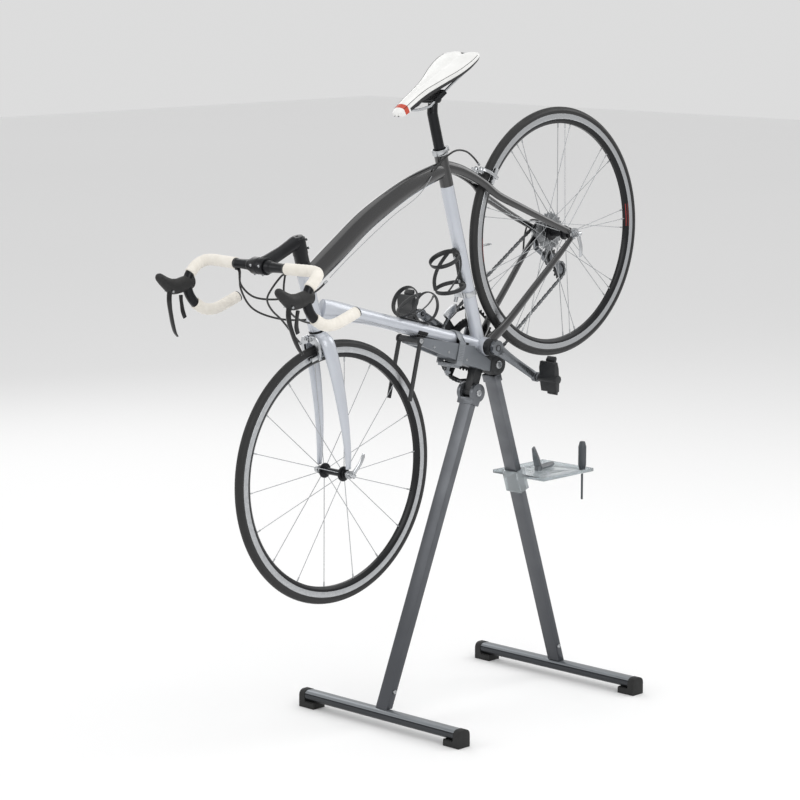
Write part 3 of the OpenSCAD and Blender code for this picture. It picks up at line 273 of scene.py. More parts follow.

# ---------------------------------------------------------------- legs
# Rectangular 40 x 20 mm aluminium tubes with a dark metallic coat. The front leg hangs from a
# round yoke on the neck, the rear one from a tongue in the housing, under a grey collar.

# The coat is painted darker low down, a painted shade, and lighter up near the head, a painted reflection; its
# tone also drifts at random.
tree, shader, leg_paint_painted_sheen = new_material("leg_metallic_paint_painted_sheen")
where = add(tree, "ShaderNodeTexCoord").outputs["Object"]
height = add(tree, "ShaderNodeSeparateXYZ", {"Vector": where}).outputs["Z"]
drift = add(tree, "ShaderNodeTexNoise", {"Vector": where, "Scale": 14.0, "Detail": 3.0}).outputs["Fac"]
# painted light: the colour runs from dark low down (painted shade) to pale high up (painted reflection), scaled
# by the random drift
painted_light_by_height = add(tree, "ShaderNodeMapRange", {"Value": height, "From Min": 0.15, "From Max": 0.85, "To Min": 0.0,
                                        "To Max": 0.75})
painted_light_and_drift = add(tree, "ShaderNodeMath", {0: painted_light_by_height.outputs["Result"], 1: drift}, operation="MULTIPLY_ADD")
painted_light_and_drift.inputs[2].default_value = 0.0
tone = add(tree, "ShaderNodeMix", {"Factor": painted_light_and_drift.outputs[0], "A": srgb("#505256"), "B": srgb("#8A8D91")},
           data_type="RGBA")
tree.links.new(tone.outputs["Result"], shader.inputs["Base Color"])
fine = add(tree, "ShaderNodeTexNoise", {"Vector": where, "Scale": 1400.0, "Detail": 2.0}).outputs["Fac"]
raised = add(tree, "ShaderNodeBump", {"Height": fine, "Strength": 0.4, "Distance": 0.00002})
tree.links.new(raised.outputs["Normal"], shader.inputs["Normal"])
shader.inputs["Metallic"].default_value = 0.8
shader.inputs["Roughness"].default_value = 0.34
eased("front_leg", leg_paint_painted_sheen, 1.4)
eased("rear_leg", leg_paint_painted_sheen, 1.4)

# Each leg is pinned to its foot bar by a plated button-head bolt on the left face.
plated_steel = coated("plated_steel", "#B9BBBD", "#A6A8AA", 12.0, 0.22, 0.34, 0.3, 0.01, 1.0)


def turned(name, profile, place, body, slot, *materials, count=64, marks=None, **more):
    """A part turned on Y from points (radius, y). An end is open where its radius isn't zero."""
    points, faces, kinds = [], [], []
    n = len(profile)
    for j in range(count):
        a = 2 * math.pi * j / count
        points += [place @ Vector((r * math.cos(a), y, r * math.sin(a))) for r, y in profile]
    for j in range(count):
        for i in range(n - 1):
            a, b = j * n + i, (j + 1) % count * n + i
            if profile[i][0] < 1e-6:
                faces.append((a, b + 1, a + 1))
            elif profile[i + 1][0] < 1e-6:
                faces.append((a, b, a + 1))
            else:
                faces.append((a, b, b + 1, a + 1))
            kinds.append(marks[i] if marks else 0)
    return piece(name, points, faces, body, slot, *materials, marks=kinds, **more)


def at(x, y, z, turn=0.0, base=None):
    """Place of a part in millimetres, turned about Y by degrees, on a base place if one is given."""
    moved = Matrix.Translation((x, y, z)) @ Matrix.Rotation(math.radians(turn), 4, "Y")
    return base @ moved if base is not None else moved


def hand_name(y):
    return "left" if y > 0 else "right"


def bolt_profile(r, y, out, hex_r=None):
    """Round-edged bolt head of radius r that stands out from y, with a socket in its face."""
    s = 1 if out > 0 else -1
    h = abs(out)
    socket = hex_r or r * 0.45
    return [(r, y), (r, y + s * h * 0.6), (r * 0.92, y + s * h * 0.9), (r * 0.78, y + s * h),
            (socket, y + s * h),
            (socket, y + s * h * 0.45), (0.0, y + s * h * 0.45)]


foot_bolt_up = 62.0              # from the foot bar up the leg
front_leg_top = (stand_x + 30.7, 835.0)
rear_leg_top = (stand_x - 39.3, 903.5)
for body, top, foot in (("front_leg", front_leg_top, front_foot), ("rear_leg", rear_leg_top, rear_foot)):
    length = math.hypot(top[0] - foot[0], top[1] - foot[1])
    share = (length - foot_bolt_up) / length
    x, z = top[0] + (foot[0] - top[0]) * share, top[1] + (foot[1] - top[1]) * share
    turned(body + "_foot_bolt", bolt_profile(5.4, 22.0, 2.6), at(x, 0, z), body, "anthracite_paint",
           plated_steel)

# ---------------------------------------------------------------- head, beam and strap
# The head is moulded in glass-filled nylon over steel pins. The folded steel beam on it carries
# the down tube in rubber lips, and a toothed strap with a steel yoke pulls the tube down.

# Glass-filled nylon: black, slightly shiny, with a mould texture.
black_nylon = coated("glass_filled_nylon", "#17181A", "#202224", 25.0, 0.38, 0.5, 0.7, 0.04)
beam_paint = coated("grey_powder_coat", "#6C7075", "#777B80", 40.0, 0.36, 0.46, 0.7, 0.03, 0.35)
strap_nylon = coated("grey_nylon", "#74787D", "#82868B", 20.0, 0.30, 0.42, 0.6, 0.02, 0.0, Coat_Weight=0.3)
eased("support_beam", beam_paint, 1.6)
eased("beam_pads", moulded_rubber, 0.3)
eased("stand_head", black_nylon, 1.4)
eased("stand_pins", plated_steel, 0.8)
eased("clamp_strap", strap_nylon, 0.8)
eased("fork_rest", black_nylon, 0.8)
BIKE = at(stand_x, 0, bracket_h, 32.9)
DOWN_TUBE = BIKE @ at(0, 0, 0, -48.5)
# ratchet teeth across the strap's outside, 4 mm apart
points, faces = [], []
for k in range(11):
    for side in (1, -1):
        z = -10.0 - 4.4 * k
        start = len(points)
        y = side * 35.6
        for x in (91.5, 110.5):
            points += [DOWN_TUBE @ Vector(p)
                       for p in ((x, y, z), (x, y + side * 1.5, z - 0.6), (x, y, z - 2.6))]
        faces += [tuple(start + i for i in f)
                  for f in ((0, 1, 2), (3, 5, 4), (0, 3, 4, 1), (1, 4, 5, 2), (0, 2, 5, 3))]
piece("strap_teeth", points, faces, "stand", "strap_plastic", strap_nylon, sharp=20.0)
for side in (1, -1):
    turned(f"housing_bolt_{hand_name(side)}", bolt_profile(10.5, side * 34.2, side * 4.0, 4.0),
           at(rear_leg_top[0], 0, rear_leg_top[1]), "stand", "zinc_steel", plated_steel)
    turned(f"yoke_bolt_{hand_name(side)}", bolt_profile(9.0, side * 27.8, side * 3.4, 3.5),
           at(front_leg_top[0], 0, front_leg_top[1]), "front_leg", "anthracite_paint", plated_steel)
    turned(f"rest_bolt_{hand_name(side)}", bolt_profile(7.0, side * 39.4, side * 3.0, 3.0),
           at(stand_x + 262.0, 0, 998.5), "fork_rest", "anthracite_paint", plated_steel)
    for k, (x, z) in enumerate(((82.0, 958.0), (150.0, 985.0), (205.0, 1004.0))):
        turned(f"beam_screw_{k}_{hand_name(side)}", bolt_profile(3.4, side * 31.9, side * 1.6, 1.5),
               at(stand_x + x, 0, z - 28.0), "stand", "beam_paint", plated_steel, count=24)

# ---------------------------------------------------------------- frame
# A moulded carbon-fibre frame in two lacquers: pearl silver on the down, seat and head tubes,
# gloss black on the arched top tube, the seat cluster and the stays. All of it is clear-coated.


def route(knots, steps):
    """Smooth route through knots; every column is blended, so sizes run smoothly along it too."""
    k = np.asarray(knots, float)
    out = []
    for i in range(len(k) - 1):
        a, b, c, d = k[max(i - 1, 0)], k[i], k[i + 1], k[min(i + 2, len(k) - 1)]
        for s in range(steps):
            t = s / steps
            out.append(0.5 * (2 * b + (c - a) * t + (2 * a - 5 * b + 4 * c - d) * t * t
                              + (3 * b - a - 3 * c + d) * t ** 3))
    return np.array(out + [k[-1]])


def swept(name, knots, place, body, slot, *materials, sides=40, steps=8, ref=(0, 1, 0), swell=None,
          mark=None,
          flip=False, ends=True, **more):
    """A tube of oval section along knots (x, y, z, half width, half depth), closed by low domes.
    Swell adds to the radius by (mm along, turns round). Mark picks the material by
    (share along, turns round)."""
    p = route(knots, steps)
    if flip:
        p[:, 1] *= -1
    n_rings = len(p)
    along = np.concatenate([[0], np.cumsum(np.linalg.norm(np.diff(p[:, :3], axis=0), axis=1))])
    normal = np.array(ref, float)
    points = []
    for i in range(n_rings):
        heading = p[min(i + 1, n_rings - 1), :3] - p[max(i - 1, 0), :3]
        heading /= np.linalg.norm(heading)
        normal = normal - heading * (normal @ heading)
        normal /= np.linalg.norm(normal)
        other = np.cross(heading, normal)
        for j in range(sides):
            a = 2 * math.pi * (j + 0.5) / sides
            grow = swell(along[i], j / sides) if swell else 0.0
            points.append(p[i, :3] + normal * (p[i, 3] + grow) * math.cos(a)
                          + other * (p[i, 4] + grow) * math.sin(a))
    faces, kinds = [], []
    for i in range(n_rings - 1):
        for j in range(sides):
            faces.append((i * sides + j, i * sides + (j + 1) % sides, (i + 1) * sides + (j + 1) % sides,
                          (i + 1) * sides + j))
            kinds.append(mark(along[i] / along[-1], (j + 1) / sides) if mark else 0)
    if ends:
        for i in (0, n_rings - 1):
            out = p[i, :3] - p[1 if i == 0 else i - 1, :3]
            out /= np.linalg.norm(out)
            start = len(points)
            for j in range(sides):
                points.append((points[i * sides + j] - p[i, :3]) * 0.8 + p[i, :3]
                              + out * min(p[i, 3:5]) * 0.12)
            points.append(p[i, :3] + out * min(p[i, 3:5]) * 0.16)
            for j in range(sides):
                k = (j + 1) % sides
                faces += [(i * sides + j, i * sides + k, start + k, start + j),
                          (start + j, start + k, start + sides)]
                kinds += [kinds[0] if i == 0 else kinds[-1]] * 2
    points = [place @ Vector(q) for q in points]
    return piece(name, points, faces, body, slot, *materials, marks=kinds, **more)


# Pearl lacquer: fine mica flakes under a clear coat, so the silver glitters softly.
tree, shader, pearl_lacquer = new_material("pearl_silver_lacquer")
where = add(tree, "ShaderNodeTexCoord").outputs["Object"]
flake = add(tree, "ShaderNodeTexVoronoi", {"Vector": where, "Scale": 1000.0 / 0.9}).outputs["Color"]
drift = add(tree, "ShaderNodeTexNoise", {"Vector": where, "Scale": 9.0, "Detail": 2.0}).outputs["Fac"]
base = add(tree, "ShaderNodeMix", {"Factor": drift, "A": srgb("#B4B8C0"), "B": srgb("#C6CAD1")},
           data_type="RGBA")
spark = add(tree, "ShaderNodeMix", {"Factor": 0.06, "A": base.outputs["Result"], "B": flake},
            data_type="RGBA",
            blend_type="SOFT_LIGHT")
tree.links.new(spark.outputs["Result"], shader.inputs["Base Color"])
shader.inputs["Metallic"].default_value = 0.35
shader.inputs["Roughness"].default_value = 0.34
shader.inputs["Coat Weight"].default_value = 1.0
shader.inputs["Coat Roughness"].default_value = 0.04
# Black lacquer over carbon: deep black, mirror-like clear coat with a trace of orange peel.
black_lacquer = coated("gloss_black_lacquer", "#08080A", "#0D0D0F", 80.0, 0.22, 0.28, 6.0, 0.01, 0.0,
                       Coat_Weight=1.0, Coat_Roughness=0.03)

down_angle = math.radians(48.5)
seat_tube_deg = 73.4
seat_angle = math.radians(seat_tube_deg)
head_angle = math.radians(72.5)


def down_knot(t, off, half, deep):
    c, s = math.cos(down_angle), math.sin(down_angle)
    return (t * c - off * s, 0.0, t * s + off * c, half, deep)


swept("down_tube", [down_knot(8, 0, 20, 19), down_knot(60, 0, 19, 19), down_knot(200, 0, 19, 19),
                    down_knot(400, 0, 19, 19), down_knot(500, -3, 20, 23), down_knot(556, -7, 19, 27),
                    down_knot(596, -9, 14, 26)],
      BIKE, "stand", "frame_finish", pearl_lacquer, stands_for=("frame",))
top_tube = [(-142, 0, 468, 14, 20), (-100, 0, 484, 15, 23), (8, 0, 512, 16, 27), (153, 0, 531, 18, 30),
            (266, 0, 531, 19, 31), (370, 0, 530, 19, 30), (404, 0, 530, 16, 28)]
# a silver strip runs along the top tube's underside
swept("top_tube", top_tube, BIKE, "stand", "frame_finish", black_lacquer, pearl_lacquer, sides=48,
      mark=lambda share, turn: 1 if 0.64 < turn < 0.86 and share > 0.1 else 0)
seat_tube = BIKE @ at(0, 0, 0, seat_tube_deg - 90)
swept("seat_tube", [(0, 0, 0, 17.5, 17.5), (0, 0, 150, 17.5, 17.5), (0, 0, 300, 17.5, 17.5),
                    (0, 0, 430, 17.5, 17.5),
                    (0, 0, 545, 17.5, 17.5)],
      seat_tube, "stand", "frame_finish", pearl_lacquer, black_lacquer, ends=False, ref=(0, 1, 0),
      mark=lambda share, turn: 1 if share > 0.8 else 0)
turned("bracket_shell", [(17.6, -34), (23.2, -34), (24, -33), (24, 33), (23.2, 34), (17.6, 34)], BIKE,
       "stand",
       "frame_finish", pearl_lacquer)
STEERER = BIKE @ at(592.5 - 40 * math.sin(head_angle), 0, 70 - 40 * math.cos(head_angle), -17.5)


def upright(base, x=0.0, z=0.0):
    """A place whose Y runs up the base's Z axis, for parts turned on the steerer or the post."""
    return base @ Matrix.Translation((x, 0, z)) @ Matrix.Rotation(math.radians(90), 4, "X")


head_z = 369.0
turned("head_tube", [(16.6, 0), (19.2, 0), (20, 1.2), (20, 12), (19.2, 30), (19, 77), (19.2, 124),
                     (20, 142),
                     (20, 152.8), (19.2, 154), (16.6, 154)], upright(STEERER, 0, head_z), "stand",
                     "frame_finish",
       pearl_lacquer)
seat_stay = [(-143, 7, 478, 9, 16), (-186, 11, 432, 9, 14), (-226, 18, 366, 9, 12), (-248, 29, 308, 8, 11),
             (-290, 42, 240, 8, 10), (-340, 54, 162, 7, 9), (-394, 62, 82, 4, 8)]
chain_stay = [(-14, 18, 0, 13, 15), (-62, 27, 3, 8, 14), (-110, 36, 12, 7, 12), (-220, 47, 32, 8, 10),
              (-320, 58, 50, 7, 9), (-396, 63, 63, 4, 8)]
REAR_WHEEL = BIKE @ at(-402, 0, 70)
FRONT_WHEEL = BIKE @ at(592.5, 0, 70)
SIDES = (("left", False), ("right", True))   # name, and whether it is mirrored
hook = [(15 * math.cos(math.radians(a)), 15 * math.sin(math.radians(a))) for a in range(-60, 241, 12)]
hook += [(-6, -14), (-6, -3), (-4.2, 4.2), (0, 6.2), (4.2, 4.2), (6, -3), (6, -14)]
for side, flip in SIDES:
    swept(f"seat_stay_{side}", seat_stay, BIKE, "stand", "frame_finish", black_lacquer, flip=flip, sides=28)
    swept(f"chain_stay_{side}", chain_stay, BIKE, "stand", "frame_finish", black_lacquer, flip=flip,
          sides=28)
    y = (-72.0, -66.0) if flip else (66.0, 72.0)
    extruded(f"dropout_{side}", hook, *y, "stand", "frame_finish", plated_steel, place=REAR_WHEEL)
    stub = [(-390, 64.5 * (-1 if flip else 1), 74, 4, 7), (-402, 69 * (-1 if flip else 1), 71, 3, 9)]
    swept(f"dropout_root_{side}", stub, BIKE, "stand", "frame_finish", black_lacquer, sides=20, steps=3)
turned("stay_bridge", [(0, -18), (8, -18), (8, 18), (0, 18)], BIKE @ at(-222, 0, 374), "stand",
       "frame_finish",
       black_lacquer)


# The brake's pivot plate is forged alloy on one through-bolt; its two studs carry the arms.
polished_alloy = coated("polished_aluminium", "#C6C8CA", "#B4B6B9", 18.0, 0.16, 0.30, 0.5, 0.01, 1.0)
REAR_BRAKE = REAR_WHEEL @ at(0, 0, 0, 30) @ Matrix.Scale(-1, 4, (1, 0, 0))
FRONT_BRAKE = STEERER @ at(40, 0, 0)
brake_top = 356.0


def across(base, y=0.0, z=0.0):
    """A place whose Y runs along the base's X axis, for bolts and studs that point fore and aft."""
    return base @ Matrix.Translation((0, y, z)) @ Matrix.Rotation(math.radians(-90), 4, "Z")


def caliper_mount(name, base, depth, bolt_from, body, slot):
    corners = [(-16, brake_top - 6), (16, brake_top - 6), (16, brake_top + 6), (-16, brake_top + 6)]
    points = [base @ Vector((x, y, z)) for x in (depth - 3.4, depth - 0.4) for y, z in corners]
    faces = [(0, 1, 2, 3), (7, 6, 5, 4)] + [(i, i + 4, (i + 1) % 4 + 4, (i + 1) % 4) for i in range(4)]
    piece(name + "_plate", points, faces, body, slot, polished_alloy)
    for y in (-9.0, 9.0):
        turned(f"{name}_stud_{hand_name(y)}",
               [(0, depth - 3), (3, depth - 3), (3, depth + 8.4), (5, depth + 8.4), (5, depth + 10.4),
                (4.2, depth + 11),
                (1.8, depth + 11), (1.8, depth + 9.6), (0, depth + 9.6)],
               across(base, y, brake_top), body, slot, plated_steel, count=32)
    turned(name + "_bolt", [(0, bolt_from), (4, bolt_from), (4, depth - 3.2), (0, depth - 3.2)],
           across(base, 0, brake_top), body, slot, plated_steel, count=32)


caliper_mount("rear_brake_mount", REAR_BRAKE, 22.0, 3.0, "stand", "frame_finish")
eased("seat_clamp", polished_alloy, 0.6)

# ---------------------------------------------------------------- fork and headset
# A carbon fork in the frame's pearl lacquer. Its bladed legs join in a flat crown over the tyre,
# and forged ends hold the axle. The headset's black cone stands on the head tube.

blade = [(0, 8, 352, 12, 20), (-1, 26, 336, 12, 21), (-1, 34, 300, 10, 20), (1, 39, 230, 9, 18),
         (10, 44, 140, 8, 14),
         (24, 49, 62, 7, 10), (37, 51.5, 14, 4, 8)]
for side, flip in SIDES:
    swept(f"fork_blade_{side}", blade, STEERER, "steering", "fork_finish", pearl_lacquer, flip=flip,
          sides=32,
          stands_for=("fork",) if not flip else ())
    y = (-54.0, -50.5) if flip else (50.5, 54.0)
    extruded(f"fork_end_{side}", [(x * 0.68, z * 0.68) for x, z in hook], *y, "steering", "fork_finish",
             plated_steel,
             place=STEERER @ at(40, 0, 0))
turned("fork_crown", [(14, 0), (16, 0), (18.6, 10), (20, 22), (19.4, 24), (14.3, 24)],
       upright(STEERER, 0, 339),
       "steering", "fork_finish", pearl_lacquer)
turned("steerer", [(12.5, 0), (14.3, 0), (14.3, 244), (12.5, 244), (12.5, 0)], upright(STEERER, 0, 362),
       "steering",
       "fork_finish", plated_steel)
caliper_mount("front_brake_mount", FRONT_BRAKE, -15.0, -40.0, "steering", "fork_finish")

# Black anodised aluminium: satin, slightly blue in the light, with the finest turning marks.
black_anodised = coated("black_anodised_aluminium", "#151618", "#1D1E21", 20.0, 0.28, 0.38, 0.4, 0.008, 0.6)
eased("headset", black_anodised, 0.6)

# ---------------------------------------------------------------- stem and handlebar
# A forged stem clamps a 31.8 mm drop bar of butted tube, both black anodised. Padded cork tape
# in off-white is wound up each hook and along the top, and a plug closes each end.

stem_z = 567.0
turned("stem_clamp", [(14.4, 0), (17.4, 0), (18, 0.8), (18, 18), (19, 19.6), (19, 60), (18.2, 60.6),
                      (16.8, 60.6),
                      (14.4, 65.6), (4, 66.2), (4, 64), (0, 64)], upright(STEERER, 0, stem_z - 19.6),
                      "steering",
       "black_anodised", black_anodised, stands_for=("stem",))
swept("stem_body", [(385, 0, 634, 17, 17), (430, 0, 641, 15, 16), (470, 0, 649, 17, 17),
                    (490, 0, 653, 18, 18)], BIKE,
      "steering", "black_anodised", black_anodised, sides=40, steps=6)
turned("bar_clamp", [(16, -23), (20.4, -23), (21, -22.2), (21, -2), (20.2, -1.2), (20.2, 1.2), (21, 2),
                     (21, 22.2),
                     (20.4, 23), (16, 23)], BIKE @ at(505, 0, 656), "steering", "black_anodised",
                     black_anodised)
for k, (y, z) in enumerate(((14, 13), (-14, 13), (14, -13), (-14, -13))):
    turned(f"bar_clamp_bolt_{k}", bolt_profile(3.4, 15.0, 3.4, 1.7), across(BIKE @ at(505, 0, 656), y, z),
           "steering",
           "black_anodised", plated_steel, count=24)
for k in (0, 1):
    turned(f"steerer_clamp_bolt_{k}", bolt_profile(3.4, -19.0, -2.4, 1.7),
           across(STEERER @ at(0, 0, stem_z + 10 + 22 * k), 10.0), "steering", "black_anodised",
           plated_steel,
           count=24)
bar_side = [(505, 40, 656, 13.4, 13.4), (505, 64, 656, 12, 12), (505, 90, 656, 12, 12),
            (504, 132, 656, 12, 12),
            (503, 174, 656, 12, 12), (509, 198, 656, 12, 12), (528, 209, 656, 12, 12),
            (556, 210, 652, 12, 12),
            (577, 210, 638, 12, 12), (587, 210, 613, 12, 12), (584, 210, 580, 12, 12),
            (568, 210, 550, 12, 12),
            (541, 210, 529, 12, 12), (505, 210, 517, 12, 12), (466, 210, 507, 12, 12)]
# Cork tape: matte foam with a soft leathery skin, warm white, pressed with fine pores.
tree, shader, cork_tape = new_material("cork_bar_tape")
where = add(tree, "ShaderNodeTexCoord").outputs["Object"]
grime = add(tree, "ShaderNodeTexNoise", {"Vector": where, "Scale": 45.0, "Detail": 5.0}).outputs["Fac"]
tone = add(tree, "ShaderNodeMix", {"Factor": grime, "A": srgb("#D9D3C8"), "B": srgb("#ECE8E0")},
           data_type="RGBA")
tree.links.new(tone.outputs["Result"], shader.inputs["Base Color"])
pores = add(tree, "ShaderNodeTexVoronoi", {"Vector": where, "Scale": 1000.0 / 1.6},
            feature="F1").outputs["Distance"]
raised = add(tree, "ShaderNodeBump", {"Height": pores, "Strength": 0.5, "Distance": 0.00012})
tree.links.new(raised.outputs["Normal"], shader.inputs["Normal"])
shader.inputs["Roughness"].default_value = 0.72
shader.inputs["Sheen Weight"].default_value = 0.25
tape_pitch = 13.0


def wound(hand):
    """Each turn of tape laps the one before, so its edge stands a little proud and then tapers away."""
    def swell(along, turn):
        lap = (along / tape_pitch + hand * turn) % 1.0
        return -0.1 - 0.9 * lap if lap > 0.12 else -1.0 + 7.5 * lap
    return swell


turned("bar_middle", [(0, -41), (13.4, -41), (15.9, -34), (15.9, 34), (13.4, 41), (0, 41)],
       BIKE @ at(505, 0, 656),
       "steering", "black_anodised", black_anodised, stands_for=("handlebar",))
for side, flip in SIDES:
    swept(f"bar_{side}", bar_side, BIKE, "steering", "black_anodised", black_anodised, flip=flip,
          ref=(0, 0, 1),
          sides=32, steps=6)
    taped = [(*k[:3], k[3] + 3, k[4] + 3) for k in bar_side]
    swept(f"tape_top_{side}", taped[2:8], BIKE, "steering", "bar_tape", cork_tape, flip=flip, ref=(0, 0, 1),
          sides=36,
          steps=14, swell=wound(1 if flip else -1), sharp=60.0, stands_for=() if flip else ("bar_tape",))
    swept(f"tape_hook_{side}", taped[10:], BIKE, "steering", "bar_tape", cork_tape, flip=flip, sides=36,
          steps=14,
          swell=wound(-1 if flip else 1), sharp=60.0)
    swept(f"bar_plug_{side}", [(467, 210, 507, 12.5, 12.5), (463.5, 210, 506.2, 13.8, 13.8),
                               (461.5, 210, 505.8, 13.2, 13.2)], BIKE, "steering", "bar_tape", black_nylon,
                               flip=flip,
          steps=3, sides=32)
    # black finishing band at the inner end of the tape
    swept(f"tape_band_{side}",
          [(505, 83, 656, 12.6, 12.6), (505, 88, 656, 12.9, 12.9), (505, 93, 656, 12.6, 12.6)],
          BIKE, "steering", "bar_tape", black_nylon, flip=flip, ref=(0, 0, 1), steps=2)

# ---------------------------------------------------------------- hoods and levers
# Each brake lever hangs in a bracket under a stretched rubber hood, clamped round the bend of
# the bar. The black aluminium lever swings on a steel pin, with a small shift lever behind it.

# Hood rubber: black, dull, with a fine pebble that gives grip.
hood_rubber = coated("hood_rubber", "#0F0F10", "#191919", 15.0, 0.5, 0.66, 1.3, 0.10)
gloss_anodised = coated("polished_black_anodising", "#0C0C0D", "#141416", 15.0, 0.16, 0.24, 0.4, 0.006, 0.5,
                        Coat_Weight=0.4)
hood = [(564, 210, 630, 14, 16), (572, 210, 636, 14.5, 18), (588, 210, 643, 15, 19),
        (607, 210, 651, 15.6, 19),
        (622, 210, 662, 15, 19), (632, 210, 680, 13.4, 15), (639, 210, 698, 11.4, 12),
        (642, 210, 708, 9, 9.6),
        (643, 210, 713, 5, 5.4)]
lever = [(634, 210, 656, 6, 6.5), (646, 210, 640, 6.4, 6.4), (653, 210.6, 626, 6.4, 5.6),
         (658, 212, 612, 6.6, 4.6),
         (666, 216, 582, 7.4, 3.6), (670, 220, 556, 6.6, 3), (668, 222, 541, 4, 2.4)]
shifter = [(613, 206, 628, 5, 5), (619, 204.6, 620, 4, 5), (624, 203, 612, 3.4, 5.2),
           (634, 200, 594, 3, 6.6),
           (637.5, 199, 578, 2.6, 6)]
for side, flip in SIDES:
    y = -1 if flip else 1
    swept(f"hood_{side}", hood, BIKE, "steering", "hood_rubber", hood_rubber, flip=flip, sides=40, steps=7,
          stands_for=() if flip else ("lever_hoods",),
          swell=lambda along, turn: -0.35 if 20.0 < along % 24.0 < 21.6 and 12 < along < 90 else 0.0)
    swept(f"lever_blade_{side}", lever, BIKE, f"{side}_brake_lever", "black_lever", gloss_anodised,
          flip=flip,
          sides=28, steps=7, stands_for=(f"{side}_brake_lever",))
    pivot = BIKE @ at(634, y * 210, 656)
    for hand in (1, -1):
        turned(f"lever_pin_{side}_{hand_name(hand)}",
               [(0, hand * 11), (2.4, hand * 11), (3.1, hand * 15.6), (2.4, hand * 16.2), (0, hand * 16.2)],
               pivot,
               f"{side}_brake_lever", "black_lever", plated_steel, count=24)
    swept(f"shift_blade_{side}", shifter, BIKE, f"{side}_shift_lever", "black_plastic", gloss_anodised,
          flip=flip,
          sides=24, steps=6, stands_for=(f"{side}_shift_lever",))

# ---------------------------------------------------------------- cables
# Black plastic housings, 5 mm across, leave the tape beside the stem and loop to the brakes.
# Two end just short of the frame, so they clear it; bare wires run on between the stops.

# Lined housing: extruded black plastic, smooth and a little shiny.
cable_black = coated("extruded_black_housing", "#0B0B0C", "#131314", 12.0, 0.26, 0.36, 0.8, 0.01)
bare_wire = coated("stainless_wire", "#B8BABC", "#9C9EA0", 4.0, 0.24, 0.34, 0.3, 0.01, 1.0)
housings = (
    ("left_brake_housing", "steering", "front_cables", False,
     ((514.8, 87, 645.8), (518, 74, 642), (548, 56, 624), (560, 38, 600), (552, 24, 560), (532, 14, 510),
      (516, 6, 450), (506, 2, 414))),
    ("rear_brake_housing", "steering", None, False,
     ((514.8, -87, 645.8), (518, -74, 642), (546, -52, 624), (548, -24, 592), (520, 10, 566),
      (470, 26, 540),
      (420, 30, 512), (368, 26, 505))),
    ("shift_housing_left", "steering", None, False,
     ((507.9, 87, 642.2), (512, 79, 637), (536, 76, 600), (536, 68, 540), (492, 52, 476), (424, 37, 421),
      (358, 29, 384))),
    ("shift_housing_right", "steering", None, True,
     ((507.9, 87, 642.2), (512, 79, 637), (536, 76, 600), (536, 68, 540), (492, 52, 476), (424, 37, 421),
      (358, 29, 384))),
    ("rear_brake_loop", "stand", "frame_cables", False,
     ((-96, 18, 500), (-130, 27, 510), (-176, 30, 504), (-214, 22, 474), (-238, 12, 436), (-252, 4, 402))),
    ("rear_shift_loop", "stand", None, False,
     ((-330, -68, 50), (-372, -82, 76), (-418, -90, 88), (-450, -86, 54), (-446, -78, 20), (-420, -71, 5))))
for name, body, node, flip, knots in housings:
    swept(name, [(*k, 2.5, 2.5) for k in knots], BIKE, body, "cable_black", cable_black, flip=flip,
          sides=16, steps=9,
          stands_for=(node,) if node else ())
    # a plated ferrule closes the far end
    far = [np.array(knots[-1]) * (1 - t) + np.array(knots[-2]) * t for t in (0.0, 0.12, 0.24)]
    swept(name + "_ferrule", [(*far[2], 3.1, 3.1), (*far[1], 3.1, 3.1), (*far[0], 3.1, 3.1)], BIKE, body,
          "cable_black",
          plated_steel, flip=flip, sides=16, steps=2)
swept("top_tube_wire", [(352, 22, 503, 0.9, 0.9), (260, 22, 504, 0.9, 0.9), (100, 20, 496, 0.9, 0.9),
                        (-10, 19, 482, 0.9, 0.9), (-80, 18, 493, 0.9, 0.9)], BIKE, "stand", "cable_black",
                        bare_wire,
      sides=10, steps=6)
for side, flip in SIDES:
    swept(f"shift_wire_{side}",
          [(520, 22.6, -14, 0.8, 0.8), (470, 21.5, -13, 0.8, 0.8), (410, 16.6, -12, 0.8, 0.8),
           (380, 16, -12, 0.8, 0.8), (60, 16, -12, 0.8, 0.8)], DOWN_TUBE, "stand", "cable_black",
          bare_wire, flip=flip, sides=10, steps=4)
    # cable stop on the down tube
    swept(f"cable_stop_{side}", [(516, 22.2, -13.8, 3.4, 3.4), (506, 22.2, -13.6, 3.4, 3.4),
                                 (499, 21.8, -13.4, 2.2, 2.2)], DOWN_TUBE, "stand", "frame_finish",
                                 plated_steel,
          flip=flip, sides=20, steps=3)

# ---------------------------------------------------------------- seatpost and saddle
# A black aluminium post with a bent-back head grips two 7 mm rails. The saddle is foam on a
# nylon shell under smooth white leather, with a sunk channel and a coloured band over the nose.

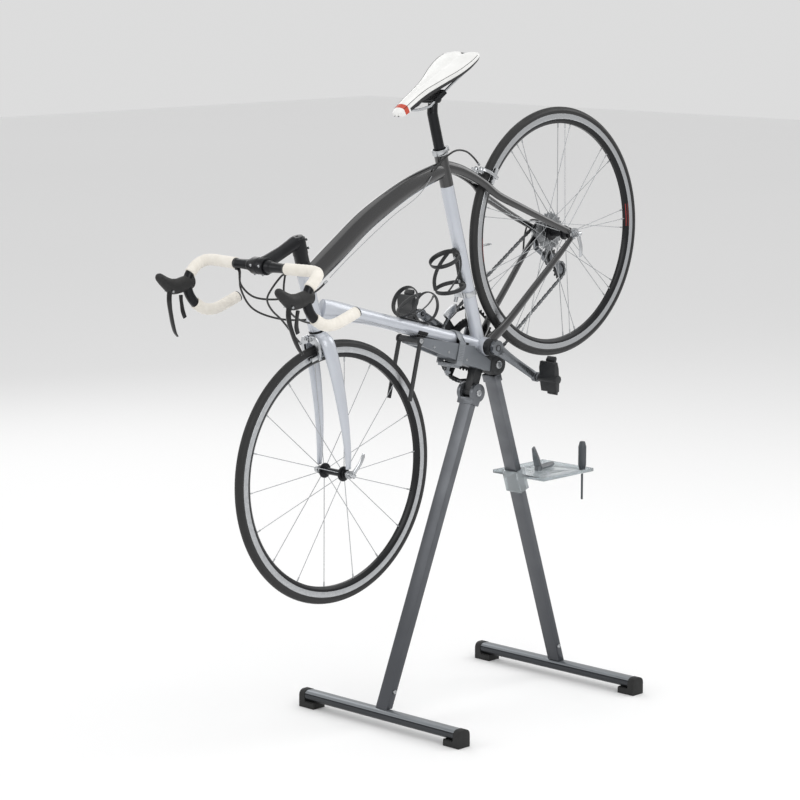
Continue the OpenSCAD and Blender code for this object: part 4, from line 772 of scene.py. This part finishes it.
post_bend = 646.0
rail_z = post_bend * math.sin(seat_angle) + 30.0
bend = (-post_bend * math.cos(seat_angle), 0.0, post_bend * math.sin(seat_angle))
low = (-400 * math.cos(seat_angle), 0.0, 400 * math.sin(seat_angle))
mid = tuple(a * 0.12 + b * 0.88 for a, b in zip(low, bend))
swept("seatpost_tube", [(*low, 13.6, 13.6), (*mid, 13.6, 13.6), (bend[0] - 1.5, 0, bend[2] - 1, 13.5, 13.5),
                        (-198, 0, rail_z - 16, 12.6, 12.6), (-206, 0, rail_z - 7, 11, 11)], BIKE,
                        "seatpost",
      "black_anodised", black_anodised, steps=10, stands_for=("seatpost",))
turned("post_cradle", [(0, -18), (9.6, -18), (11, -17), (11, 17), (9.6, 18), (0, 18)],
       BIKE @ at(-208, 0, rail_z - 6),
       "seatpost", "black_anodised", black_anodised)
for name, z0, z1, half in (("post_clamp_lower", -6.0, -0.6, 27.0), ("post_clamp_upper", 0.6, 6.0, 26.6)):
    extruded(name, [(-232, rail_z + z0 + 1), (-231, rail_z + z0), (-187, rail_z + z0),
                    (-186, rail_z + z0 + 1),
                    (-186, rail_z + z1 - 1), (-187, rail_z + z1), (-231, rail_z + z1),
                    (-232, rail_z + z1 - 1)],
             -half, half, "seatpost", "black_anodised", black_anodised, place=BIKE)
for name, x in (("front", -191.0), ("rear", -227.0)):
    turned(f"post_bolt_{name}", bolt_profile(3.6, -6.0, -4.0, 1.8), upright(BIKE, x, rail_z), "seatpost",
           "black_anodised", plated_steel, count=24)
rail = [(-112, 9, 27), (-134, 16, 12), (-166, 22, 0), (-176, 22, 0), (-186, 22, 0), (-236, 22, 0),
        (-262, 22, 0),
        (-300, 26, 1), (-336, 32, 4)]
for side, flip in SIDES:
    swept(f"saddle_rail_{side}", [(x, y, z + rail_z, 3.4, 3.4) for x, y, z in rail], BIKE, "seatpost",
          "polished_steel", polished_alloy, flip=flip, sides=20, steps=8,
          stands_for=() if flip else ("saddle_rails",))

# Smooth white leather over foam, wiped clean: faint pores, a soft sheen, black line along the flank.
tree, shader, saddle_leather = new_material("white_saddle_leather")
where = add(tree, "ShaderNodeTexCoord").outputs["Object"]
soil = add(tree, "ShaderNodeTexNoise", {"Vector": where, "Scale": 30.0, "Detail": 5.0}).outputs["Fac"]
tone = add(tree, "ShaderNodeMix", {"Factor": soil, "A": srgb("#D8D8D6"), "B": srgb("#EEEEEC")},
           data_type="RGBA")
tree.links.new(tone.outputs["Result"], shader.inputs["Base Color"])
pores = add(tree, "ShaderNodeTexVoronoi", {"Vector": where, "Scale": 1000.0 / 1.1}).outputs["Distance"]
raised = add(tree, "ShaderNodeBump", {"Height": pores, "Strength": 0.35, "Distance": 0.00006})
tree.links.new(raised.outputs["Normal"], shader.inputs["Normal"])
shader.inputs["Roughness"].default_value = 0.42
shader.inputs["Sheen Weight"].default_value = 0.1
black_leather = coated("black_saddle_leather", "#131314", "#1B1B1C", 12.0, 0.40, 0.52, 1.1, 0.06)
red_leather = coated("red_saddle_leather", "#B5402A", "#C24A32", 12.0, 0.40, 0.50, 1.1, 0.06)
lift = rail_z - 649.0
# stations from nose to tail: x, middle of the top, half width, drop of the crown, depth of the skirt
stations = ((-72, 692, 7, 1.5, 6), (-76, 695, 13, 3, 12), (-90, 698.5, 17, 5, 17),
            (-120, 700.5, 19.5, 6.5, 20),
            (-155, 700, 21.5, 7, 21), (-185, 698.5, 25, 8, 21), (-215, 696, 33, 9, 20),
            (-245, 693.5, 44, 9, 19),
            (-275, 690.5, 56, 8, 18), (-305, 688, 63.5, 6.5, 17), (-330, 686, 65.5, 5.5, 15),
            (-350, 683.5, 62, 5, 13),
            (-364, 679.5, 53, 5, 9), (-372, 674, 42, 3, 5))
lofted = route(stations, 6)
across_n = 40
points, faces, kinds = [], [], []
for i, (x, top, half, crown, skirt) in enumerate(lofted):
    notch = max(0.0, (-x - 338.0) / 34.0)
    for j in range(across_n + 1):
        s = 2 * j / across_n - 1
        y = half * math.sin(s * math.pi / 2)
        drop = crown * abs(math.sin(s * math.pi / 2)) ** 2.4
        channel = 2.6 * math.exp(-(y / 7.0) ** 2) * max(0.0,
                                                        min(1.0, (-x - 120) / 60)) * (1 - min(1.0, notch) * 0.3)
        edge = skirt * max(0.0, (abs(s) - 0.86) / 0.14) ** 1.5
        bow = 14.0 * notch * math.exp(-(y / 15.0) ** 2)
        points.append((x + bow, y * (1 - 0.10 * max(0.0, (abs(s) - 0.93) / 0.07)),
                       top - drop - channel - edge + lift))
rows = len(lofted)
w = across_n + 1
for i in range(rows - 1):
    for j in range(across_n):
        faces.append((i * w + j, (i + 1) * w + j, (i + 1) * w + j + 1, i * w + j + 1))
        x = (lofted[i][0] + lofted[i + 1][0]) / 2
        s = abs(2 * (j + 0.5) / across_n - 1)
        band = -106 < x < -90
        kinds.append(2 if band else 1 if s > 0.93 and x < -110 else 0)
# shell underneath, drawn in 3 mm from the cover's edge
start = len(points)
for i, (x, top, half, crown, skirt) in enumerate(lofted):
    for j in range(w):
        s = 2 * j / across_n - 1
        y = (half * 0.88) * math.sin(s * math.pi / 2)
        points.append((x + (2 if i < 4 else 0), y,
                       top - crown - skirt * 0.82 + 3.2 * (1 - s * s) + lift - 1.0))
for i in range(rows - 1):
    for j in range(across_n):
        faces.append((start + i * w + j, start + i * w + j + 1, start + (i + 1) * w + j + 1,
                      start + (i + 1) * w + j))
        kinds.append(1)
for i in range(rows - 1):
    for j, d in ((0, 1), (across_n, -1)):
        a, b = i * w + j, (i + 1) * w + j
        faces.append((a, b, start + b, start + a) if d > 0 else (b, a, start + a, start + b))
        kinds.append(1)
for i in (0, rows - 1):
    for j in range(across_n):
        a, b = i * w + j, i * w + j + 1
        faces.append((a, b, start + b, start + a))
        kinds.append(1 if i else 0)
saddle = piece("saddle_cover", [BIKE @ Vector(p) for p in points], faces, "seatpost", "saddle_leather",
               saddle_leather,
               black_leather, red_leather, marks=kinds, stands_for=("saddle",), sharp=50.0)
# thin black piping line along each flank, where the cover's top and side panels are sewn
for side, flip in SIDES:
    seam = []
    for x, top, half, crown, skirt in stations[2:-2]:
        s = 0.80
        seam.append((x, half * math.sin(s * math.pi / 2),
                     top - crown * math.sin(s * math.pi / 2) ** 2.4 + lift + 0.1,
                     0.9, 0.6))
    swept(f"saddle_piping_{side}", seam, BIKE, "seatpost", "saddle_leather", black_leather, flip=flip,
          sides=10,
          steps=6)

# ---------------------------------------------------------------- tyres and rims
# 700 x 23 clinchers, slick black with a file tread, on deep aluminium rims. The brake track is
# machined bright, and the sides below it are anodised black.

# Tyre rubber: dull black, a trace of road dust, fine file pattern that runs round the tread.
tread_rubber = coated("tread_rubber", "#121213", "#1D1D1D", 26.0, 0.52, 0.68, 0.9, 0.10)
side_rubber = coated("sidewall_rubber", "#0D0D0E", "#161617", 34.0, 0.40, 0.54, 0.5, 0.03)
# Brake track: bright aluminium, turned, with fine rings left by the pads.
brake_track = coated("machined_brake_track", "#C4C6C8", "#A9ABAE", 9.0, 0.24, 0.42, 0.35, 0.02, 1.0)
black_rim = coated("black_rim_anodising", "#111214", "#1A1B1D", 22.0, 0.26, 0.36, 0.4, 0.006, 0.5)
red_decal = coated("red_band", "#B5302A", "#A82B26", 14.0, 0.34, 0.44, 0.5, 0.01)

section_r, section_at = 11.5, 322.5
tyre_profile, tyre_marks = [], []
for k in range(33):
    angle = math.radians(-121 + 242 * k / 32)
    ridge = 0.0 if abs(k - 16) > 9 else (-0.25 if k % 3 == 1 else 0.0)
    tyre_profile.append((section_at + (section_r + ridge) * math.cos(angle),
                         (section_r + ridge) * math.sin(angle)))
    tyre_marks.append(0 if 8 <= k < 24 else 1)
for k in range(9):
    angle = math.radians(121 - 242 * k / 8)
    tyre_profile.append((section_at + 9.5 * math.cos(angle), 9.5 * math.sin(angle)))
    tyre_marks.append(1)
tyre_profile.append(tyre_profile[0])
half_rim = [(290, 4), (291.2, 5.2), (295.6, 8.2), (297, 8.9), (300.6, 9.9), (302, 10), (302.6, 9.8),
            (303.2, 10),
            (315.8, 10), (316.5, 9.4), (316.5, 7.6), (311, 7.6)]
rim_profile = [(r, -y) for r, y in half_rim] + half_rim[::-1] + [(290, -4)]
rim_marks = [0 if 5 <= min(k, 22 - k) <= 11 else 1 for k in range(len(rim_profile) - 1)]
for end, place in (("front", FRONT_WHEEL), ("rear", REAR_WHEEL)):
    turned(f"{end}_tyre_casing", tyre_profile, place, f"{end}_wheel", "tyre_rubber", tread_rubber,
           side_rubber,
           count=192, marks=tyre_marks, stands_for=(f"{end}_tyre",), sharp=60.0)
    turned(f"{end}_rim_ring", rim_profile, place, f"{end}_wheel", "rim_metal", brake_track, black_rim,
           count=192,
           marks=rim_marks, stands_for=(f"{end}_rim",), sharp=25.0)
# Valve stem on the rear rim, and two plain red bands on its black side.
turned("rear_valve", [(0, 0), (3, 0), (3, 26), (2.2, 27), (2.2, 36), (1.2, 37), (0, 37)],
       REAR_WHEEL @ at(0, 0, 0,
                       -30) @ Matrix.Translation((290, 0, 0)) @ Matrix.Rotation(math.radians(90), 4, "Z"),
       "rear_wheel", "rim_metal", plated_steel, count=24)
for k, centre in enumerate((28.0, 208.0)):
    points, faces = [], []
    for j in range(13):
        a = math.radians(centre + j - 6)
        for y in (1, -1):
            for r, out in ((292.3, 6.2), (299.0, 9.6)):
                points.append(REAR_WHEEL @ Vector((r * math.cos(a), y * out, r * math.sin(a))))
    for j in range(12):
        for s in (0, 2):
            faces.append((j * 4 + s, j * 4 + s + 1, j * 4 + s + 5, j * 4 + s + 4))
    piece(f"rear_rim_band_{k + 1}", points, faces, "rear_wheel", "rim_metal", red_decal)

# ---------------------------------------------------------------- spokes and hubs
# Straight stainless spokes: 18 in front, 27 behind in nine groups of three, one to the left
# flange and two that cross to the right one. Each is drawn tight by a nipple in the rim.


def rods(name, runs, place, body, slot, material, sides=10, **more):
    """Round rods in one mesh; a run is (from, to, radius), in the place's own frame."""
    points, faces = [], []
    for start, end, r in runs:
        start, end = Vector(start), Vector(end)
        turn = (end - start).to_track_quat("Z", "Y")
        first = len(points)
        for middle in (start, end):
            for j in range(sides):
                a = 2 * math.pi * j / sides
                points.append(place @ (middle + turn @ Vector((r * math.cos(a), r * math.sin(a), 0))))
        faces += [(first + j, first + (j + 1) % sides, first + sides + (j + 1) % sides, first + sides + j)
                  for j in range(sides)]
        faces += [tuple(range(first + sides - 1, first - 1, -1)),
                  tuple(range(first + sides, first + 2 * sides))]
    return piece(name, points, faces, body, slot, material, **more)


def wheel_point(r, degrees, y):
    return Vector((r * math.cos(math.radians(degrees)), y, r * math.sin(math.radians(degrees))))


rim_in = 290.0
front_ends = [(wheel_point(19, 20 * (i + 0.5), 33 if i % 2 == 0 else -33),
               wheel_point(rim_in, 20 * (i + 0.5), 1.5 if i % 2 == 0 else -1.5)) for i in range(18)]
rear_ends = []
for i in range(9):
    a = 40 * (i + 0.25)
    rear_ends += [(wheel_point(19, a, 34), wheel_point(rim_in, a, 1.5)),
                  (wheel_point(24, a - 62, -15), wheel_point(rim_in, a + 5, -1.5)),
                  (wheel_point(24, a + 62, -11), wheel_point(rim_in, a - 5, -1.5))]
for end, place, ends in (("front", FRONT_WHEEL, front_ends), ("rear", REAR_WHEEL, rear_ends)):
    rods(f"{end}_spoke_set", [(a, b, 1.0) for a, b in ends], place, f"{end}_wheel", "polished_steel",
         bare_wire,
         stands_for=(f"{end}_spokes",))
    rods(f"{end}_nipples", [(b + (a - b).normalized() * 12, b, 2.0) for a, b in ends], place,
         f"{end}_wheel",
         "polished_steel", plated_steel, sides=12)
front_hub_half = [(4.6, 44), (8, 44), (9, 43.2), (9, 41.4), (12.3, 41), (13, 40.3), (13, 36.2),
                  (18.4, 35.5),
                  (19, 34.9), (19, 31.1), (18.4, 30.5), (10.4, 30.2), (9.2, 28.4), (8.6, 22)]
turned("front_hub_shell", [(r, -y) for r, y in front_hub_half] + front_hub_half[::-1], FRONT_WHEEL,
       "front_wheel",
       "black_anodised", black_anodised, stands_for=("front_hub",))
turned("rear_hub_shell",
       [(6.1, -16), (23.4, -16), (24, -15.4), (24, -10.6), (23.4, -10), (15.4, -9.6), (13.2, -8),
        (12.4, 0), (12.4, 22), (13.2, 29), (18.4, 31.5), (19, 32.1), (19, 35.9), (18.4, 36.5),
        (15, 37.2), (15, 51.2), (14, 52), (6.1, 52)], REAR_WHEEL, "rear_wheel",
       "black_anodised", black_anodised, stands_for=("rear_hub",))
for node in ("front_axle", "rear_axle"):
    eased(node, plated_steel, 0.5)
for node in ("front_quick_release", "rear_quick_release"):
    eased(node, polished_alloy, 0.9, 50.0)

# ---------------------------------------------------------------- cranks, rings and sprockets
# Forged grey cranks on a through spindle, two black machined chainrings on a five-armed spider,
# ten steel sprockets, and resin clipless pedals on steel axles.

# Polished grey aluminium of the cranks, wiped and a little oily.
crank_grey = coated("polished_grey_crank", "#808387", "#6E7175", 24.0, 0.18, 0.32, 0.5, 0.01, 0.9)
dark_ring = coated("black_chainring_anodising", "#1B1C1E", "#2A2B2D", 12.0, 0.28, 0.42, 0.4, 0.02, 0.7)
sprocket_steel = coated("nickel_sprocket", "#9A9C9E", "#77797B", 7.0, 0.26, 0.46, 0.5, 0.03, 1.0)
eased("crankset", crank_grey, 0.9, 50.0)
eased("chainrings", dark_ring, 0.25)
eased("cassette", sprocket_steel, 0.2)
eased("bottom_bracket", black_nylon, 0.6)
turned("crank_cap", [(0, 66), (0.1, 68.4), (6.2, 68.6), (6.6, 70.2), (8.6, 70.4), (9.2, 69.6), (9.2, 66)],
       BIKE,
       "crank", "silver_alloy", black_nylon)
for k in range(5):
    a = math.radians(245 + 36 + 72 * k)
    turned(f"chainring_bolt_{k + 1}",
           [(0, -53.2), (2.2, -53.2), (2.2, -54), (4.4, -54), (5, -53.4), (5, -52)],
           BIKE @ at(55 * math.cos(a), 0, 55 * math.sin(a)), "crank", "dark_chainring", plated_steel,
           count=28)
for side in ("left", "right"):
    eased(f"{side}_pedal", black_nylon, 1.2, 40.0)

# ---------------------------------------------------------------- chain
# 12.7 mm pitch: inner and outer plates in turn, with a pin at every joint. It runs from the big
# ring over the sprocket and between the two jockey wheels.

chain_steel = coated("chain_plate_steel", "#8E9092", "#5C5E60", 6.0, 0.28, 0.46, 0.4, 0.02, 1.0)
chain_pitch, chain_y = 12.7, -46.5


def pitch_radius(teeth):
    return chain_pitch / (2 * math.sin(math.pi / teeth))


wheels = [((0.0, 0.0), pitch_radius(50)), ((-402.0, -65.0), pitch_radius(11)),
          ((-393.0, -14.0), -pitch_radius(11)),
          ((-402.0, 70.0), pitch_radius(14))]


def leave_angle(i):
    """Direction from a wheel's centre to the point where the chain leaves it."""
    (ax, az), ar = wheels[i]
    (bx, bz), br = wheels[(i + 1) % 4]
    dx, dz = bx - ax, bz - az
    return math.atan2(dz, dx) + math.acos((ar - br) / math.hypot(dx, dz))


path = []
for i, (centre, r) in enumerate(wheels):
    come, out = leave_angle((i + 3) % 4), leave_angle(i)
    turn = -((come - out) % math.tau) if r > 0 else (out - come) % math.tau
    steps = max(6, int(abs(turn) / 0.02))
    path += [(centre[0] + r * math.cos(come + turn * k / steps),
              centre[1] + r * math.sin(come + turn * k / steps))
             for k in range(steps + 1)]
path = np.array(path + [path[0]])
along = np.concatenate([[0], np.cumsum(np.linalg.norm(np.diff(path, axis=0), axis=1))])
links = int(round(along[-1] / chain_pitch / 2)) * 2
# the first pin sits in a gap between two teeth of the big ring
first_pin = pitch_radius(50) * (leave_angle(3) % math.radians(7.2) + math.radians(1.4))
joints = [np.array([np.interp((first_pin + along[-1] * k / links) % along[-1], along, path[:, c])
                    for c in (0, 1)])
          for k in range(links)]
points, faces = [], []
for k in range(links):
    a, b = joints[k], joints[(k + 1) % links]
    course = (b - a) / np.linalg.norm(b - a)
    side = np.array([-course[1], course[0]])
    half = 3.9 if k % 2 else 3.6
    outline = [a - course * half * 0.75 + side * half * 0.66, a + side * half,
               (a + b) / 2 + side * half * 0.72,
               b + side * half, b + course * half * 0.75 + side * half * 0.66,
               b + course * half * 0.75 - side * half * 0.66, b - side * half,
               (a + b) / 2 - side * half * 0.72,
               a - side * half, a - course * half * 0.75 - side * half * 0.66]
    near, far = (2.25, 2.95) if k % 2 else (1.45, 2.15)
    for hand in (1, -1):
        start = len(points)
        n = len(outline)
        points += [BIKE @ Vector((x, chain_y + hand * y, z)) for y in (near, far) for x, z in outline]
        faces += [(start + j, start + (j + 1) % n, start + n + (j + 1) % n, start + n + j)
                  for j in range(n)]
        faces += [tuple(range(start, start + n))[::-1], tuple(range(start + n, start + 2 * n))]
piece("chain_plates", points, faces, "stand", "chain_steel", chain_steel, stands_for=("chain",))
rods("chain_pins", [((x, chain_y - 3.0, z), (x, chain_y + 3.0, z), 1.8) for x, z in joints], BIKE, "stand",
     "chain_steel", plated_steel)

# ---------------------------------------------------------------- derailleurs and brakes
# Silver and black derailleurs with resin jockey wheels. Dual-pivot brake arms are forged and
# polished, and carry black pads in their shoes beside the rims.

eased("front_derailleur", polished_alloy, 0.5)
eased("rear_derailleur", crank_grey, 0.6)
for node in ("upper_jockey_wheel", "lower_jockey_wheel"):
    eased(node, black_nylon, 0.2)
for name, x, z in (("upper", -393, -14), ("lower", -402, -65)):
    turned(f"{name}_jockey_bolt",
           [(0, -52.8), (1.6, -52.8), (1.6, -53.6), (3.6, -53.6), (4.2, -53), (4.2, -51.8)],
           BIKE @ at(x, 0, z), "stand", "silver_alloy", plated_steel, count=28)
rim_line = 310.0
for end, place, depth in (("front", FRONT_BRAKE, -15.0), ("rear", REAR_BRAKE, 22.0)):
    for side, y in (("left", 1), ("right", -1)):
        eased(f"{end}_brake_{side}", polished_alloy, 0.9, 40.0)
        lo, hi = (depth - 14.2, 11.5, rim_line - 5.2), (depth + 26.2, 14.0, rim_line + 3.2)
        points = [place @ Vector((x, y * w, z)) for x in (lo[0], hi[0]) for w in (lo[1], hi[1])
                  for z in (lo[2], hi[2])]
        piece(f"{end}_brake_pad_{side}", points, [(0, 1, 3, 2), (4, 6, 7, 5), (0, 4, 5, 1), (2, 3, 7, 6),
                                                  (0, 2, 6, 4), (1, 5, 7, 3)],
              f"{end}_brake_{side}", "black_rubber", moulded_rubber)

# ---------------------------------------------------------------- bottle cages
# Two black cages of glass-filled nylon, screwed to the seat tube and the down tube. A spine runs
# up the tube, hoops hold the bottle, and a slanted strap joins the hoops.

cage_r = 37.5
SEAT_CAGE = BIKE @ at(0, 0, 0, -16.6) @ Matrix.Translation((17.5, 0, 165))
DOWN_CAGE = DOWN_TUBE @ Matrix.Translation((205, 0, 19.3)) @ Matrix(
    ((0, 0, 1, 0), (0, 1, 0, 0), (1, 0, 0, 0), (0, 0, 0, 1)))
for name, place in (("seat_cage", SEAT_CAGE), ("down_cage", DOWN_CAGE)):
    stands = ("bottle_cages",) if name == "seat_cage" else ()
    # spine, with its edges rolled away from the tube
    swept(f"{name}_spine", [(2.2, 0, 2, 8, 2), (2.2, 0, 20, 9, 2.2), (2.2, 0, 60, 6.5, 2.2),
                            (2.2, 0, 96, 9, 2.2),
                            (2.2, 0, 116, 8, 2)], place, "stand", "black_plastic", black_nylon, sides=24,
          stands_for=stands)
    # lower hoop, and an upper one that dips at the front
    for hoop, z, dip, deep in (("lower", 22.0, 0.0, 5.6), ("upper", 108.0, 14.0, 6.4)):
        ring = []
        for k in range(33):
            a = 2 * math.pi * k / 32
            share = (1 - math.cos(a)) / 2
            ring.append((cage_r + 5 - (cage_r + 2) * math.cos(a), (cage_r + 2) * math.sin(a),
                         z - dip * share, 1.9, deep))
        swept(f"{name}_{hoop}_hoop", ring, place, "stand", "black_plastic", black_nylon, sides=16, steps=2,
              ref=(1, 0, 0),
              ends=False)
    # slanted straps down both sides, from the upper hoop's back to the lower hoop's front
    for side, flip in SIDES:
        strap = []
        for k in range(9):
            a = math.radians(28 + 118 * k / 8)
            strap.append((cage_r + 5 - (cage_r + 2) * math.cos(a), (cage_r + 2) * math.sin(a),
                          104 - 78 * k / 8, 1.8, 5.0))
        swept(f"{name}_strap_{side}", strap, place, "stand", "black_plastic", black_nylon, flip=flip,
              sides=16, steps=3,
              ref=(1, 0, 0))
    for z in (26.0, 90.0):
        turned(f"{name}_bolt_{int(z)}",
               [(0, 0.2), (3, 0.2), (3, 1.0), (4.4, 1.4), (4.4, 3.4), (3.6, 4), (0, 4)],
               across(place, 0, z) @ Matrix.Translation((0, 3.6, 0)), "stand", "black_plastic",
               plated_steel, count=28)

# ---------------------------------------------------------------- tool tray and tools
# A pale clear tray, moulded in one with the clip that grips the rear leg, with a rim and bit
# holes. A screwdriver hangs through it, and pliers stand in it by their jaws.

# Clear styrene with a grey tint, faintly scuffed.
tree, shader, clear_tray = new_material("clear_grey_styrene")
where = add(tree, "ShaderNodeTexCoord").outputs["Object"]
scuff = add(tree, "ShaderNodeTexNoise", {"Vector": where, "Scale": 160.0, "Detail": 4.0}).outputs["Fac"]
dull = add(tree, "ShaderNodeMapRange", {"Value": scuff, "To Min": 0.12, "To Max": 0.30})
tree.links.new(dull.outputs["Result"], shader.inputs["Roughness"])
shader.inputs["Base Color"].default_value = srgb("#D3DADD")
shader.inputs["Transmission Weight"].default_value = 0.75
shader.inputs["IOR"].default_value = 1.5
eased("tool_tray", clear_tray, 0.6)
handle_grip = coated("dark_grey_handle", "#3E4246", "#4A4E53", 14.0, 0.40, 0.52, 0.8, 0.05)
eased("screwdriver", handle_grip, 0.8)
tool_steel = coated("ground_tool_steel", "#8D9093", "#737679", 9.0, 0.28, 0.42, 0.5, 0.02, 1.0)
eased("pliers", tool_steel, 0.9)
